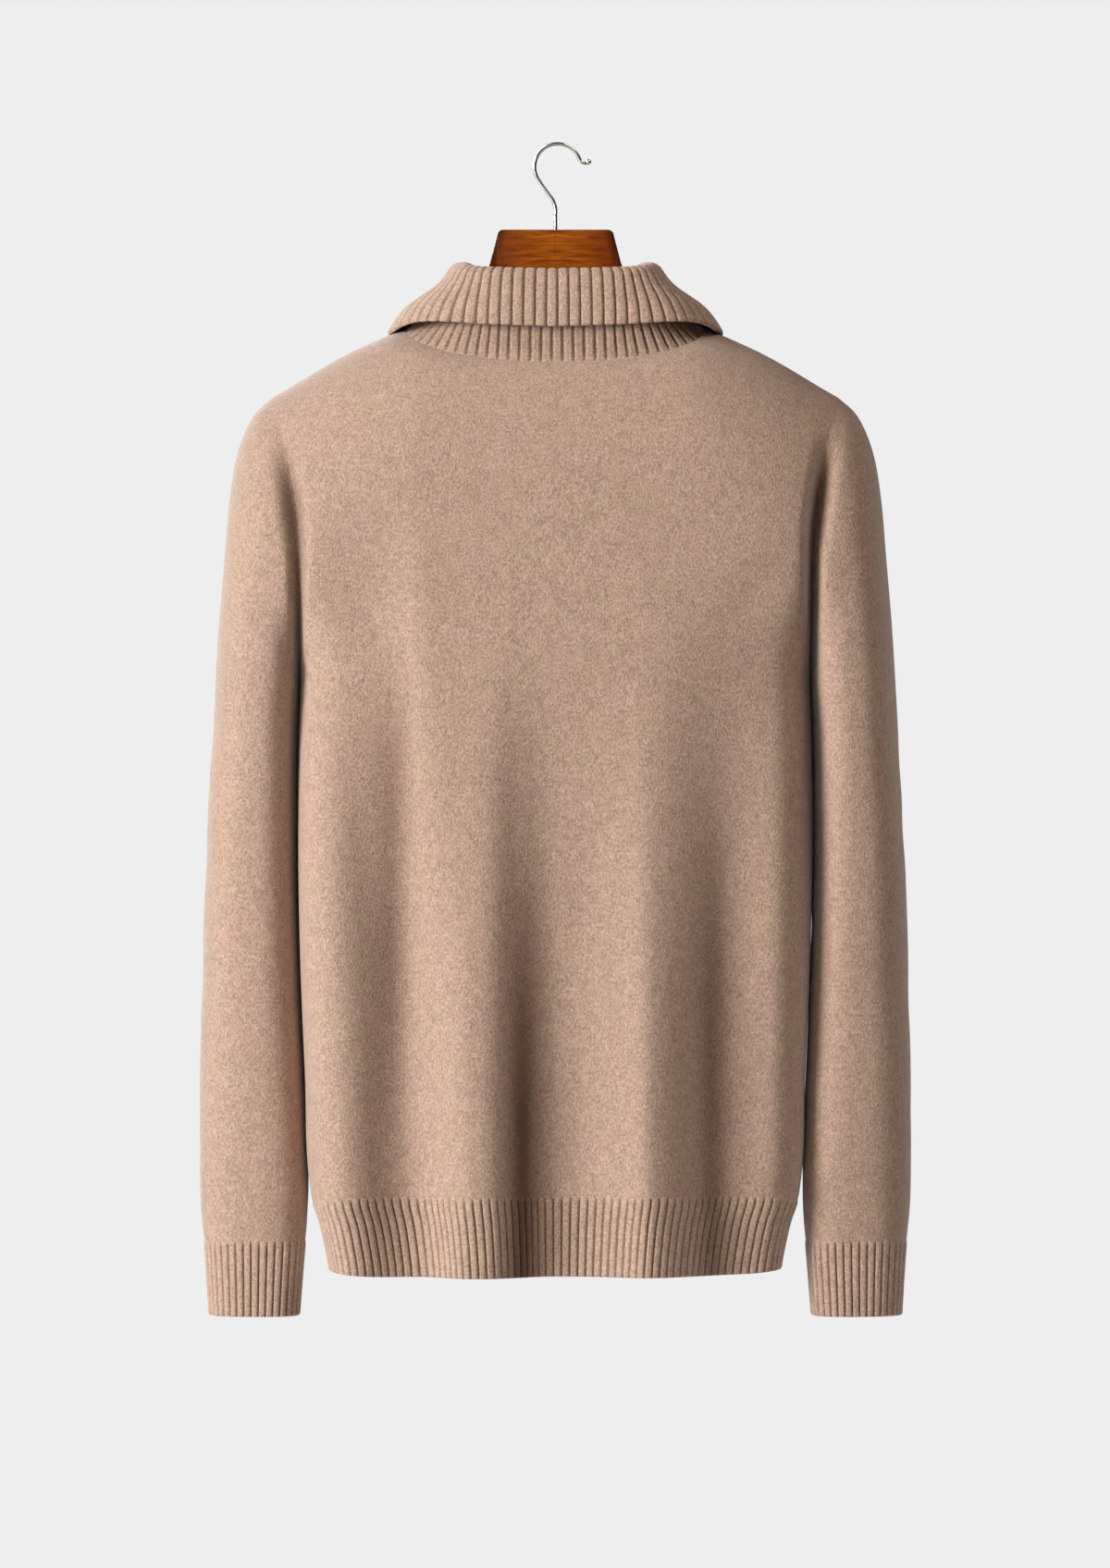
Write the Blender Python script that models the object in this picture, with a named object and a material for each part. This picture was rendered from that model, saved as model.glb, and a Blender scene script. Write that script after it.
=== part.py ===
"""Funnel neck cardigan hanging on a wooden hanger, metres, +Z up, front towards -Y.

The origin is the inside top of the hook, where a rod carries it. The wearer's left is +X.
Each cloth piece is a wall: a grid of outer points and a grid of inner points, closed at the
rims. Neighbouring pieces share the points of their seam and are then drawn back from it.
"""
import bpy
import bmesh
import numpy as np
from math import asin, cos, exp, log, pi, radians, sin, sqrt

# cloth
WALL = 0.003                # thickness of the fulled knit
SEAM_PULL = 0.0002          # each piece is drawn back this far from its seam
OVERLAP_LIFT = 0.0037       # how far the buttonhole band lies above the button band

# neck and shoulders
NECK_HALF = 0.107           # half of the neck width, at the shoulder line
BACK_NECK_DROP = 0.0256
FRONT_NECK_DROP = 0.085
TIP_HALF = 0.202            # half of the shoulder width
NECK_LEVEL_Z = -0.1262      # height of the shoulder line where it is level, over the neck
SHOULDER_START = 0.103      # from here out it slopes
SHOULDER_EASE = 0.010       # softness of that turn
SHOULDER_SLOPE = 0.542
SHOULDER_BOW = 0.002        # rise of the shoulder line above a straight one
SHOULDER_ROUND = 0.12       # depth over which the shoulders round into the body

# armholes and body tube
ARMHOLE_HALF = 0.1812       # half of the body width between the armholes
ARMHOLE_TURN_Z = -0.2855    # below this the armhole seam runs round the side
UNDERARM_Z = -0.3812
ARMHOLE_REACH = 0.80        # how far round the side the armhole seam lies, 1 at the side seam
ARMHOLE_HOLLOW = 1.6        # power of the armhole's curve
BODY_SQUARENESS = 3.6       # power of the body's section, 2 is an ellipse
LEFT_LEAD = 0.120           # the folds of the left side start this much higher
RIGHT_LEAD = 0.025          # and those of the right side this much
FOLD_SLANT = 0.06           # and the left one runs in towards the hem by this share
HEM_TOP_Z = -0.7468
HEM_BOTTOM_Z = -0.8038
HEM_SEAM_DIP = 0.0045       # the hem's seam is lower at the side seams
HEM_SIDE_RISE = 0.003       # and its edge is higher there

# front bands
BAND_HALF = 0.0155          # from the centre front to the band's seam
BAND_END = 0.0128           # from the centre front to the band's far edge
LIFT_START = 0.060          # from here the left front rises to lie over the right one
BUTTON_COUNT = 6
BUTTON_TOP_Z = -0.2400
BUTTON_BOTTOM_Z = -0.7750
BUTTON_RADIUS = 0.0100
BUTTON_THICK = 0.0038
BUTTON_RIM = 0.0009         # rounding of the button's edge
BUTTON_GAP = 0.0007         # from the band to the back of a button

# collar
COLLAR_FOLD = 0.0045        # inner radius of the fold at the top of the collar
COLLAR_GAP = 0.0030         # from the centre front to each end of the collar

# grid counts
NECK_COLUMNS = 7            # from the centre to the shoulder line
SHOULDER_COLUMNS = 6        # from the shoulder line to the armhole
ARMHOLE_ROWS = 10
BODY_ROWS = 7               # from the underarm to the hem band
HEM_ROWS = 3
SLEEVE_RINGS = 16
CUFF_RINGS = 2
STAND_ROWS = 4
FOLD_ROWS = 4
FALL_ROWS = 4
SLEEVE_SQUARENESS = 2.6
CAP_RINGS = 5.0             # rings over which the armhole's shape fades into the sleeve's

# hook
WIRE_RADIUS = 0.0013
HOOK_RADIUS = 0.0165        # to the middle of the wire
HOOK_OFFSET = 0.0016        # the loop's centre lies this far off the stem, towards -X
HOOK_START = 24             # degrees, where the loop turns out to its ball end
HOOK_END = 215              # degrees, where the loop runs straight to the stem
BALL_RADIUS = 0.0020
WOOD_TOP_Z = -0.0604
STEM_GAP = 0.0004


class Table:
    """Rows of sizes under named columns, read smoothly along the first column."""

    def __init__(self, columns, rows):
        self.columns = columns
        self.rows = np.array(sorted(rows))

    def at(self, column, key):
        """Return the column's value at a key, on a smooth curve through the rows."""
        keys = self.rows[:, 0]
        values = self.rows[:, self.columns.index(column)]
        slopes = np.gradient(values, keys)
        key = min(max(key, keys[0]), keys[-1])
        i = min(int(np.searchsorted(keys, key, side="right")) - 1, len(keys) - 2)
        span = keys[i + 1] - keys[i]
        t = (key - keys[i]) / span
        a = values[i] * (1 + 2 * t) * (1 - t) ** 2 + values[i + 1] * t * t * (3 - 2 * t)
        b = slopes[i] * t * (1 - t) ** 2 - slopes[i + 1] * t * t * (1 - t)
        return float(a + span * b)


BODY = Table(
    ("z", "half_width", "back_depth", "front_depth", "fold"), [
        (-0.1200, 0.1812, 0.0870, 0.0880, 0.00),
        (-0.3000, 0.1812, 0.0870, 0.0890, 0.00),
        (-0.3812, 0.1812, 0.0880, 0.0910, 0.07),
        (-0.4240, 0.1826, 0.0895, 0.0930, 0.20),
        (-0.4900, 0.1832, 0.0905, 0.0950, 0.42),
        (-0.5820, 0.1815, 0.0900, 0.0960, 0.74),
        (-0.6613, 0.1782, 0.0880, 0.0950, 0.95),
        (-0.7405, 0.1746, 0.0850, 0.0930, 1.00),
        (-0.7520, 0.1728, 0.0845, 0.0925, 1.00),
        (-0.7660, 0.1680, 0.0825, 0.0905, 1.00),
        (-0.7805, 0.1645, 0.0810, 0.0890, 1.00),
        (-0.7980, 0.1612, 0.0800, 0.0880, 1.00),
        (-0.8088, 0.1600, 0.0795, 0.0875, 1.00),
    ])

BACK_FOLDS = Table(
    ("x", "height"), [
        (-0.1830, -0.0120),
        (-0.1646, -0.0180),
        (-0.1448, -0.0242),
        (-0.1250, -0.0305),
        (-0.1053, -0.0240),
        (-0.0855, -0.0105),
        (-0.0637, -0.0030),
        (-0.0261, -0.0215),
        (0.0036, -0.0240),
        (0.0234, -0.0100),
        (0.0432, 0.0055),
        (0.0560, 0.0080),
        (0.0650, 0.0065),
        (0.0828, -0.0080),
        (0.1026, -0.0160),
        (0.1224, -0.0058),
        (0.1422, 0.0085),
        (0.1620, 0.0165),
        (0.1830, 0.0160),
    ])

FRONT_FOLDS = Table(
    ("x", "height"), [
        (-0.1830, 0.000),
        (-0.1440, 0.004),
        (-0.0980, -0.009),
        (-0.0500, 0.003),
        (0.0000, 0.001),
        (0.0560, 0.005),
        (0.0900, -0.010),
        (0.1380, 0.004),
        (0.1830, 0.000),
    ])

SLEEVE = Table(
    ("ring", "outer_x", "outer_z", "inner_x", "inner_z", "half_depth", "outer_y", "inner_y"), [
        (0, 0.2020, -0.1799, 0.1812, -0.3812, 0.0580, 0.000, 0.000),
        (1, 0.2158, -0.1937, 0.1823, -0.3831, 0.0625, -0.001, 0.000),
        (2, 0.2264, -0.2188, 0.1831, -0.3851, 0.0660, -0.002, 0.000),
        (3, 0.2323, -0.2525, 0.1838, -0.3878, 0.0685, -0.004, 0.000),
        (4, 0.2363, -0.2987, 0.1842, -0.3917, 0.0700, -0.006, 0.000),
        (5, 0.2402, -0.3449, 0.1845, -0.3977, 0.0700, -0.008, -0.001),
        (6, 0.2435, -0.3977, 0.1846, -0.4142, 0.0685, -0.010, -0.002),
        (7, 0.2468, -0.4505, 0.1844, -0.4538, 0.0650, -0.012, -0.003),
        (8, 0.2495, -0.5033, 0.1842, -0.5033, 0.0605, -0.013, -0.004),
        (9, 0.2515, -0.5561, 0.1835, -0.5561, 0.0555, -0.014, -0.004),
        (10, 0.2531, -0.6155, 0.1816, -0.6155, 0.0500, -0.014, -0.005),
        (11, 0.2541, -0.6749, 0.1790, -0.6749, 0.0450, -0.014, -0.005),
        (12, 0.2541, -0.7310, 0.1767, -0.7310, 0.0405, -0.014, -0.005),
        (13, 0.2534, -0.7574, 0.1768, -0.7574, 0.0375, -0.014, -0.005),
        (14, 0.2511, -0.7805, 0.1785, -0.7805, 0.0340, -0.013, -0.005),
        (15, 0.2490, -0.8085, 0.1808, -0.8085, 0.0315, -0.012, -0.005),
        (16, 0.2475, -0.8345, 0.1828, -0.8345, 0.0300, -0.012, -0.005),
    ])
LAST_SLEEVE_RING = 14
LAST_CUFF_RING = 16

# turn is the angle round the neck, 0 at the centre back and 180 at the centre front
COLLAR = Table(
    ("turn", "rim_x", "rim_y", "rim_z", "edge_x", "edge_y", "edge_z", "bulge"), [
        (0, 0.0000, 0.0520, -0.0985, 0.0000, 0.0610, -0.1309, 0.001),
        (25, 0.0390, 0.0505, -0.0977, 0.0455, 0.0595, -0.1307, 0.001),
        (45, 0.0530, 0.0430, -0.0956, 0.0785, 0.0520, -0.1300, 0.001),
        (70, 0.0600, 0.0220, -0.0920, 0.1050, 0.0300, -0.1292, 0.000),
        (90, 0.0605, 0.0000, -0.0905, 0.1140, 0.0000, -0.1305, 0.000),
        (135, 0.0520, -0.0640, -0.1260, 0.1010, -0.0790, -0.1700, 0.002),
        (180, 0.0140, -0.0900, -0.1660, 0.0480, -0.1020, -0.2250, 0.003),
    ])

HANGER = Table(
    ("x", "top_z", "bottom_z", "half_thick", "squareness"), [
        (0.0002, -0.0604, -0.1120, 0.0095, 6.0),
        (0.0395, -0.0604, -0.1140, 0.0095, 6.0),
        (0.0412, -0.0625, -0.1144, 0.0095, 5.5),
        (0.0470, -0.0850, -0.1180, 0.0098, 5.0),
        (0.0580, -0.1060, -0.1275, 0.0105, 4.0),
        (0.0800, -0.1235, -0.1435, 0.0115, 3.2),
        (0.1000, -0.1360, -0.1570, 0.0130, 2.8),
        (0.1250, -0.1450, -0.1710, 0.0145, 2.5),
        (0.1550, -0.1580, -0.1850, 0.0160, 2.4),
        (0.1820, -0.1735, -0.1975, 0.0165, 2.4),
        (0.1900, -0.1800, -0.1985, 0.0130, 2.3),
        (0.1935, -0.1850, -0.1960, 0.0070, 2.2),
    ])
HANGER_SIDES = 16

WOOL = ("wool_knit", (0.43, 0.29, 0.19), 0.95, 0.0)
RIB = ("wool_rib", (0.41, 0.27, 0.18), 0.95, 0.0)
HORN = ("horn_button", (0.10, 0.05, 0.025), 0.35, 0.0)
WOOD = ("varnished_wood", (0.28, 0.07, 0.012), 0.25, 0.0)
STEEL = ("steel_wire", (0.62, 0.61, 0.59), 0.25, 1.0)


# ---- sizes along the body ----

def smooth_step(t):
    """Return a soft ramp from 0 to 1."""
    t = min(max(t, 0.0), 1.0)
    return t * t * (3 - 2 * t)


def shoulder_z(x):
    """Return the height of the shoulder line at a distance from the centre."""
    reach = (abs(x) - SHOULDER_START) / SHOULDER_EASE
    run = SHOULDER_EASE * log(1 + exp(reach))
    f = min(max((abs(x) - NECK_HALF) / (TIP_HALF - NECK_HALF), 0.0), 1.0)
    return NECK_LEVEL_Z - SHOULDER_SLOPE * run + SHOULDER_BOW * sin(pi * f) ** 2


NECK_Z = shoulder_z(NECK_HALF)
TIP_Z = shoulder_z(TIP_HALF)


def armhole_x(z):
    """Return how far out the armhole seam lies at a height."""
    f = min(max((z - ARMHOLE_TURN_Z) / (TIP_Z - ARMHOLE_TURN_Z), 0.0), 1.0)
    return ARMHOLE_HALF + (TIP_HALF - ARMHOLE_HALF) * f ** ARMHOLE_HOLLOW


def body_reach(z):
    """Return the half width that the body's section would have without an armhole."""
    if z <= UNDERARM_Z:
        return BODY.at("half_width", z)
    f = smooth_step((z - UNDERARM_Z) / (ARMHOLE_TURN_Z - UNDERARM_Z))
    return armhole_x(z) / (1 - (1 - ARMHOLE_REACH) * f)


def body_y(face, x, z):
    """Return the depth of the outer surface, face 1 for the back and -1 for the front."""
    depth = BODY.at("back_depth" if face > 0 else "front_depth", z)
    folds = BACK_FOLDS if face > 0 else FRONT_FOLDS
    across = min(abs(x) / body_reach(z), 1.0)
    section = (1 - across ** BODY_SQUARENESS) ** (1 / BODY_SQUARENESS)
    fall = min(max((shoulder_z(x) - z) / SHOULDER_ROUND, 0.0), 1.0)
    rounding = sqrt(1 - (1 - fall) ** 2)
    lead = (LEFT_LEAD if x > 0 else RIGHT_LEAD) * smooth_step((abs(x) - 0.06) / 0.04)
    slant = FOLD_SLANT * (z - HEM_TOP_Z) * smooth_step((x - 0.06) / 0.04) * (face > 0)
    height = folds.at("height", x - slant)
    fold = BODY.at("fold", z - lead) * height * section * (2 - section)
    lift = 0.0
    if face < 0:
        lift = OVERLAP_LIFT * smooth_step((LIFT_START - x) / (LIFT_START - BAND_HALF))
        lift *= x > -BAND_HALF
    return face * (depth * section * rounding + fold + lift)


def neck_z(face, x):
    """Return the height of the neck seam."""
    drop = BACK_NECK_DROP if face > 0 else FRONT_NECK_DROP
    return NECK_Z - drop * sqrt(max(1 - (x / NECK_HALF) ** 2, 0.0))


def even_across(start):
    """Return the columns' places across the body, evenly spaced along its section."""
    angles = np.linspace(0, pi / 2, 400)
    power = 2 / BODY_SQUARENESS
    across = np.sin(angles) ** power
    depth = np.clip(np.cos(angles), 0, 1) ** power * 0.49
    length = np.concatenate(([0], np.cumsum(np.hypot(np.diff(across), np.diff(depth)))))
    first = np.interp(start, across, length)
    count = NECK_COLUMNS + SHOULDER_COLUMNS + 1
    return np.interp(np.linspace(first, length[-1], count), length, across)


def neck_turns(face, start):
    """Return angles from the centre to the shoulder line, evenly spaced along the neck seam."""
    angles = np.linspace(asin(start / NECK_HALF), pi / 2, 400)
    seam = []
    for angle in angles:
        x = -NECK_HALF * sin(angle)
        z = neck_z(face, x)
        seam.append((x, body_y(face, x, z), z))
    length = np.linalg.norm(np.diff(np.array(seam), axis=0), axis=1)
    length = np.concatenate(([0], np.cumsum(length)))
    return np.interp(np.linspace(0, length[-1], NECK_COLUMNS + 1), length, angles)


def row_shares():
    """Return the share of the way from the top edge to the underarm of each upper row."""
    steps = np.arange(ARMHOLE_ROWS + 1) / ARMHOLE_ROWS
    return (1 - np.cos(pi * steps ** 1.1)) / 2


def side_shift(level):
    """Return how much higher a level of the body lies at the side seams."""
    down = min(max((UNDERARM_Z - level) / (UNDERARM_Z - HEM_TOP_Z), 0.0), 1.0)
    hem = max((HEM_TOP_Z - level) / (HEM_TOP_Z - HEM_BOTTOM_Z), 0.0)
    return -HEM_SEAM_DIP * down * (1 - hem) + HEM_SIDE_RISE * hem


def half_panel(face, side, start):
    """Return the outer points of half the back or of one front, rows by columns."""
    neck = NECK_HALF * np.sin(neck_turns(face, start))
    shoulder = np.linspace(NECK_HALF, TIP_HALF, SHOULDER_COLUMNS + 1)
    top_x = np.concatenate((neck, shoulder[1:]))
    tops = [neck_z(face, x) if x < NECK_HALF else shoulder_z(x) for x in top_x]
    low = even_across(start / ARMHOLE_HALF)
    rows = []
    for share in row_shares():
        edge = armhole_x(TIP_Z + (UNDERARM_Z - TIP_Z) * share)
        row = []
        for j, top in enumerate(tops):
            x = edge * (top_x[j] / TIP_HALF * (1 - share) + low[j] * share)
            if j == 0:
                x = start
            z = top + (UNDERARM_Z - top) * share
            row.append((side * x, body_y(face, side * x, z), z))
        rows.append(row)
    heights = list(np.linspace(UNDERARM_Z, HEM_TOP_Z, BODY_ROWS + 1)[1:])
    heights += list(np.linspace(HEM_TOP_Z, HEM_BOTTOM_Z, HEM_ROWS + 1)[1:])
    for level in heights:
        row = []
        for j, across in enumerate(low):
            z = level + side_shift(level) * across ** 8
            x = start if j == 0 else BODY.at("half_width", z) * across
            row.append((side * x, body_y(face, side * x, z), z))
        rows.append(row)
    return np.array(rows)


# ---- walls ----

def outward(grid, closed=False):
    """Return unit normals of a grid, which run with columns crossed with rows."""
    if closed:
        along = np.roll(grid, -1, axis=1) - np.roll(grid, 1, axis=1)
    else:
        along = np.gradient(grid, axis=1)
    down = np.gradient(grid, axis=0)
    normal = np.cross(down, along)
    return normal / np.linalg.norm(normal, axis=2, keepdims=True)


def mitre(normal_a, normal_b):
    """Return the step through the wall at a seam, halfway between two pieces' normals."""
    middle = normal_a + normal_b
    middle /= np.linalg.norm(middle, axis=-1, keepdims=True)
    half_angle = np.sum(middle * normal_a, axis=-1, keepdims=True)
    return -middle * WALL / np.clip(half_angle, 0.55, 1.0)


def draw_back(outer, inner, edges):
    """Draw the named edges of a wall back from their seams."""
    for grid in (outer, inner):
        if "top" in edges:
            grid[0] += SEAM_PULL * unit(grid[1] - grid[0])
        if "bottom" in edges:
            grid[-1] += SEAM_PULL * unit(grid[-2] - grid[-1])
        if "first" in edges:
            grid[:, 0] += SEAM_PULL * unit(grid[:, 1] - grid[:, 0])
        if "last" in edges:
            grid[:, -1] += SEAM_PULL * unit(grid[:, -2] - grid[:, -1])


def unit(vectors):
    """Return vectors at length 1."""
    return vectors / np.linalg.norm(vectors, axis=-1, keepdims=True)


def make_finish(name, colour, roughness, metallic):
    """Return the material of that name."""
    material = bpy.data.materials.get(name)
    if material is None:
        material = bpy.data.materials.new(name)
        material.use_nodes = True
        shader = material.node_tree.nodes["Principled BSDF"]
        shader.inputs["Base Color"].default_value = (*colour, 1.0)
        shader.inputs["Roughness"].default_value = roughness
        shader.inputs["Metallic"].default_value = metallic
        material.diffuse_color = (*colour, 1.0)
    return material


def make_object(name, points, faces, finish):
    """Add a closed mesh whose faces point out."""
    mesh = bpy.data.meshes.new(name)
    mesh.from_pydata([tuple(p) for p in points], [], faces)
    shell = bmesh.new()
    shell.from_mesh(mesh)
    bmesh.ops.recalc_face_normals(shell, faces=shell.faces)
    if shell.calc_volume(signed=True) < 0:
        bmesh.ops.reverse_faces(shell, faces=shell.faces)
    shell.to_mesh(mesh)
    shell.free()
    mesh.shade_smooth()
    mesh.set_sharp_from_angle(angle=radians(40))
    mesh.materials.append(make_finish(*finish))
    piece = bpy.data.objects.new(name, mesh)
    bpy.context.scene.collection.objects.link(piece)
    return piece


def split_quad(points, quad):
    """Return the quad's two triangles, cut along its shorter diagonal."""
    a, b, c, d = quad
    if np.linalg.norm(points[a] - points[c]) < np.linalg.norm(points[b] - points[d]):
        return [(a, b, c), (a, c, d)]
    return [(a, b, d), (b, c, d)]


def make_wall(name, outer, inner, finish, closed=False):
    """Add a wall between two grids; a closed one runs round in its columns."""
    rows, columns = outer.shape[:2]
    points = list(outer.reshape(-1, 3)) + list(inner.reshape(-1, 3))
    far = rows * columns
    steps = columns if closed else columns - 1
    faces = []
    for i in range(rows - 1):
        for j in range(steps):
            k = (j + 1) % columns
            a, b, c, d = (i * columns + j, i * columns + k,
                          (i + 1) * columns + k, (i + 1) * columns + j)
            faces.append((a, b, c, d))
            faces.append((far + d, far + c, far + b, far + a))
    for j in range(steps):
        k = (j + 1) % columns
        low = (rows - 1) * columns
        faces += split_quad(points, (far + j, far + k, k, j))
        faces += split_quad(points, (low + j, low + k, far + low + k, far + low + j))
    if not closed:
        for i in range(rows - 1):
            a, b = i * columns, (i + 1) * columns
            faces += split_quad(points, (a, b, far + b, far + a))
            a, b = a + columns - 1, b + columns - 1
            faces += split_quad(points, (far + a, far + b, b, a))
    return make_object(name, points, faces, finish)


# ---- the cloth ----

def body_grids():
    """Return the outer grids of the back and of both fronts with their normals."""
    half = half_panel(1, 1, 0.0)
    other = half_panel(1, -1, 0.0)
    grids = {
        "back": np.concatenate((other[:, :0:-1], half), axis=1),
        "front_left": half_panel(-1, 1, BAND_HALF),
        "front_right": half_panel(-1, -1, BAND_HALF),
    }
    normals = {}
    for name, grid in grids.items():
        normal = outward(grid)
        middle = grid[ARMHOLE_ROWS, grid.shape[1] // 2]
        facing = normal[ARMHOLE_ROWS, grid.shape[1] // 2]
        if facing[1] * middle[1] < 0:
            normal = -normal
        share_seam_normals(grid, normal)
        normals[name] = normal
    return grids, normals


def share_seam_normals(grid, normal):
    """Set the normals on the shoulder line and the side seams, which two panels share."""
    for j in range(grid.shape[1]):
        x = grid[0, j, 0]
        if abs(x) > NECK_HALF - 1e-6:
            step = 1e-4
            slope = (shoulder_z(abs(x) + step) - shoulder_z(abs(x) - step)) / (2 * step)
            normal[0, j] = unit(np.array((-slope * np.sign(x), 0.0, 1.0)))
    for j in (0, -1):
        if abs(grid[-1, j, 0]) > 2 * BAND_HALF:
            side = np.sign(grid[-1, j, 0])
            normal[ARMHOLE_ROWS:, j] = (side, 0.0, 0.0)


def armhole_columns(side):
    """Return the back's and the front's column along the armhole of one side."""
    back_column = -1 if side > 0 else 0
    front = "front_left" if side > 0 else "front_right"
    return ("back", back_column), (front, -1)


def sleeve_ring(ring, side, shares):
    """Return the points of a flat sleeve ring, from the outer point round by the back."""
    at = {name: SLEEVE.at(name, ring) for name in SLEEVE.columns[1:]}
    outer = np.array((side * at["outer_x"], at["outer_y"], at["outer_z"]))
    inner = np.array((side * at["inner_x"], at["inner_y"], at["inner_z"]))
    middle = (outer + inner) / 2
    half = (outer - inner) / 2
    angles = np.arccos(1 - 2 * np.array(shares))
    turns = list(angles) + [2 * pi - a for a in angles[-2:0:-1]]
    power = 2 / SLEEVE_SQUARENESS
    points = []
    for turn in turns:
        reach = np.sign(cos(turn)) * abs(cos(turn)) ** power
        depth = np.sign(sin(turn)) * abs(sin(turn)) ** power * at["half_depth"]
        points.append(middle + half * reach + np.array((0.0, depth, 0.0)))
    return np.array(points)


def sleeve_grid(side, loop):
    """Return the sleeve's outer rings, from the armhole loop to the cuff's edge."""
    shares = row_shares()
    spare = loop - sleeve_ring(0, side, shares)
    rings = list(np.linspace(0, LAST_SLEEVE_RING, SLEEVE_RINGS + 1))
    rings += list(np.linspace(LAST_SLEEVE_RING, LAST_CUFF_RING, CUFF_RINGS + 1))[1:]
    grid = []
    for ring in rings:
        fade = max(1 - ring / CAP_RINGS, 0.0) ** 2
        grid.append(sleeve_ring(ring, side, shares) + spare * fade)
    return np.array(grid)


def make_sleeves(grids, normals, steps):
    """Add the sleeves and cuffs and set the step through the wall at the armholes."""
    for side, name in ((1, "left"), (-1, "right")):
        (back, b), (front, f) = armhole_columns(side)
        upper = slice(0, ARMHOLE_ROWS + 1)
        back_edge = grids[back][upper, b]
        front_edge = grids[front][upper, f]
        loop = np.concatenate((back_edge, front_edge[-2:0:-1]))
        grid = sleeve_grid(side, loop)
        normal = outward(grid, closed=True)
        outside = normal[-1, 0] @ np.array((side, 0.0, 0.0))
        if outside < 0:
            normal = -normal
        body_normal = np.concatenate((normals[back][upper, b], normals[front][upper, f][-2:0:-1]))
        seam = mitre(body_normal, normal[0])
        inner = grid - normal * WALL
        inner[0] = grid[0] + seam
        steps[back][upper, b] = seam[:ARMHOLE_ROWS + 1]
        front_seam = np.concatenate((seam[:1], seam[:ARMHOLE_ROWS - 1:-1]))
        steps[front][upper, f] = front_seam
        cut = SLEEVE_RINGS + 1
        pieces = (("sleeve_", slice(0, cut), WOOL, ("top", "bottom")),
                  ("cuff_", slice(cut - 1, None), RIB, ("top",)))
        for piece, rows, finish, edges in pieces:
            outer_part, inner_part = grid[rows].copy(), inner[rows].copy()
            draw_back(outer_part, inner_part, edges)
            make_wall(piece + name, outer_part, inner_part, finish, closed=True)


def band_points(side):
    """Return a front band's outer grid, from its seam to its far edge."""
    columns = side * np.array((BAND_HALF, 0.0015, -BAND_END))
    level = 1 if side > 0 else -1
    heights = half_panel(-1, side, BAND_HALF)[:, 0, 2]
    rows = []
    for z in heights:
        row = []
        for x in columns:
            probe = max(x, -BAND_HALF * 0.99) if level > 0 else -BAND_HALF * 1.01
            y = body_y(-1, probe, z)
            row.append((x, y, z))
        rows.append(row)
    return np.array(rows)


def collar_section(turn, side, seam):
    """Return one section of the collar's under side: up the stand, over, down the fall."""
    at = {name: COLLAR.at(name, turn) for name in COLLAR.columns[1:]}
    rim = np.array((side * at["rim_x"], at["rim_y"], at["rim_z"]))
    edge = np.array((side * at["edge_x"], at["edge_y"], at["edge_z"]))
    rise = unit(rim - seam)
    away = edge - rim
    away[2] = 0.0
    away = unit(away)
    away = unit(away - rise * (away @ rise))
    stand_top = rim - away * COLLAR_FOLD
    fall_top = rim + away * COLLAR_FOLD
    points = [seam + (stand_top - seam) * i / STAND_ROWS for i in range(STAND_ROWS)]
    for i in range(FOLD_ROWS + 1):
        turned = pi * i / FOLD_ROWS
        points.append(rim + COLLAR_FOLD * (rise * sin(turned) - away * cos(turned)))
    for i in range(1, FALL_ROWS + 1):
        t = i / FALL_ROWS
        points.append(fall_top + (edge - fall_top) * t + away * at["bulge"] * sin(pi * t))
    return points


def make_collar(grids, normals, steps, bands):
    """Add the collar along the neck seam and set the step through the wall there."""
    spots = []
    front_turns = 180 - np.degrees(neck_turns(-1, BAND_HALF))
    back_turns = np.degrees(neck_turns(1, 0.0))
    spots.append((180, -1, bands["band_right"][0, 0].copy(), None, None))
    for j in range(NECK_COLUMNS + 1):
        spots.append((front_turns[j], -1, None, "front_right", j))
    centre = NECK_COLUMNS + SHOULDER_COLUMNS
    for j in range(1, 2 * NECK_COLUMNS):
        column = centre - NECK_COLUMNS + j
        turn = back_turns[abs(j - NECK_COLUMNS)]
        spots.append((turn, -1 if j < NECK_COLUMNS else 1, None, "back", column))
    for j in range(NECK_COLUMNS, -1, -1):
        spots.append((front_turns[j], 1, None, "front_left", j))
    spots.append((180, 1, bands["band_left"][0, 0].copy(), None, None))
    spots[0][2][0] = -COLLAR_GAP
    spots[-1][2][0] = COLLAR_GAP
    sections = []
    for turn, side, point, name, column in spots:
        seam = point if name is None else grids[name][0, column]
        sections.append(collar_section(turn, side, seam))
    grid = np.array(sections).transpose(1, 0, 2)
    normal = outward(grid)
    if normal[1, len(spots) // 2, 1] < 0:
        normal = -normal
    inner = grid - normal * WALL
    for spot, (turn, side, point, name, column) in enumerate(spots):
        if name is None:
            continue
        step = mitre(normals[name][0, column], normal[0, spot])
        inner[0, spot] = grid[0, spot] + step
        steps[name][0, column] = step
        if abs(turn - 90) < 1e-6:
            steps["back"][0, centre + side * NECK_COLUMNS] = step
    for spot, beside in ((0, 1), (-1, -2)):
        inner[0, spot] = grid[0, spot] + inner[0, beside] - grid[0, beside]
    draw_back(grid, inner, ("top",))
    make_wall("collar", grid, inner, RIB)


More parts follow.
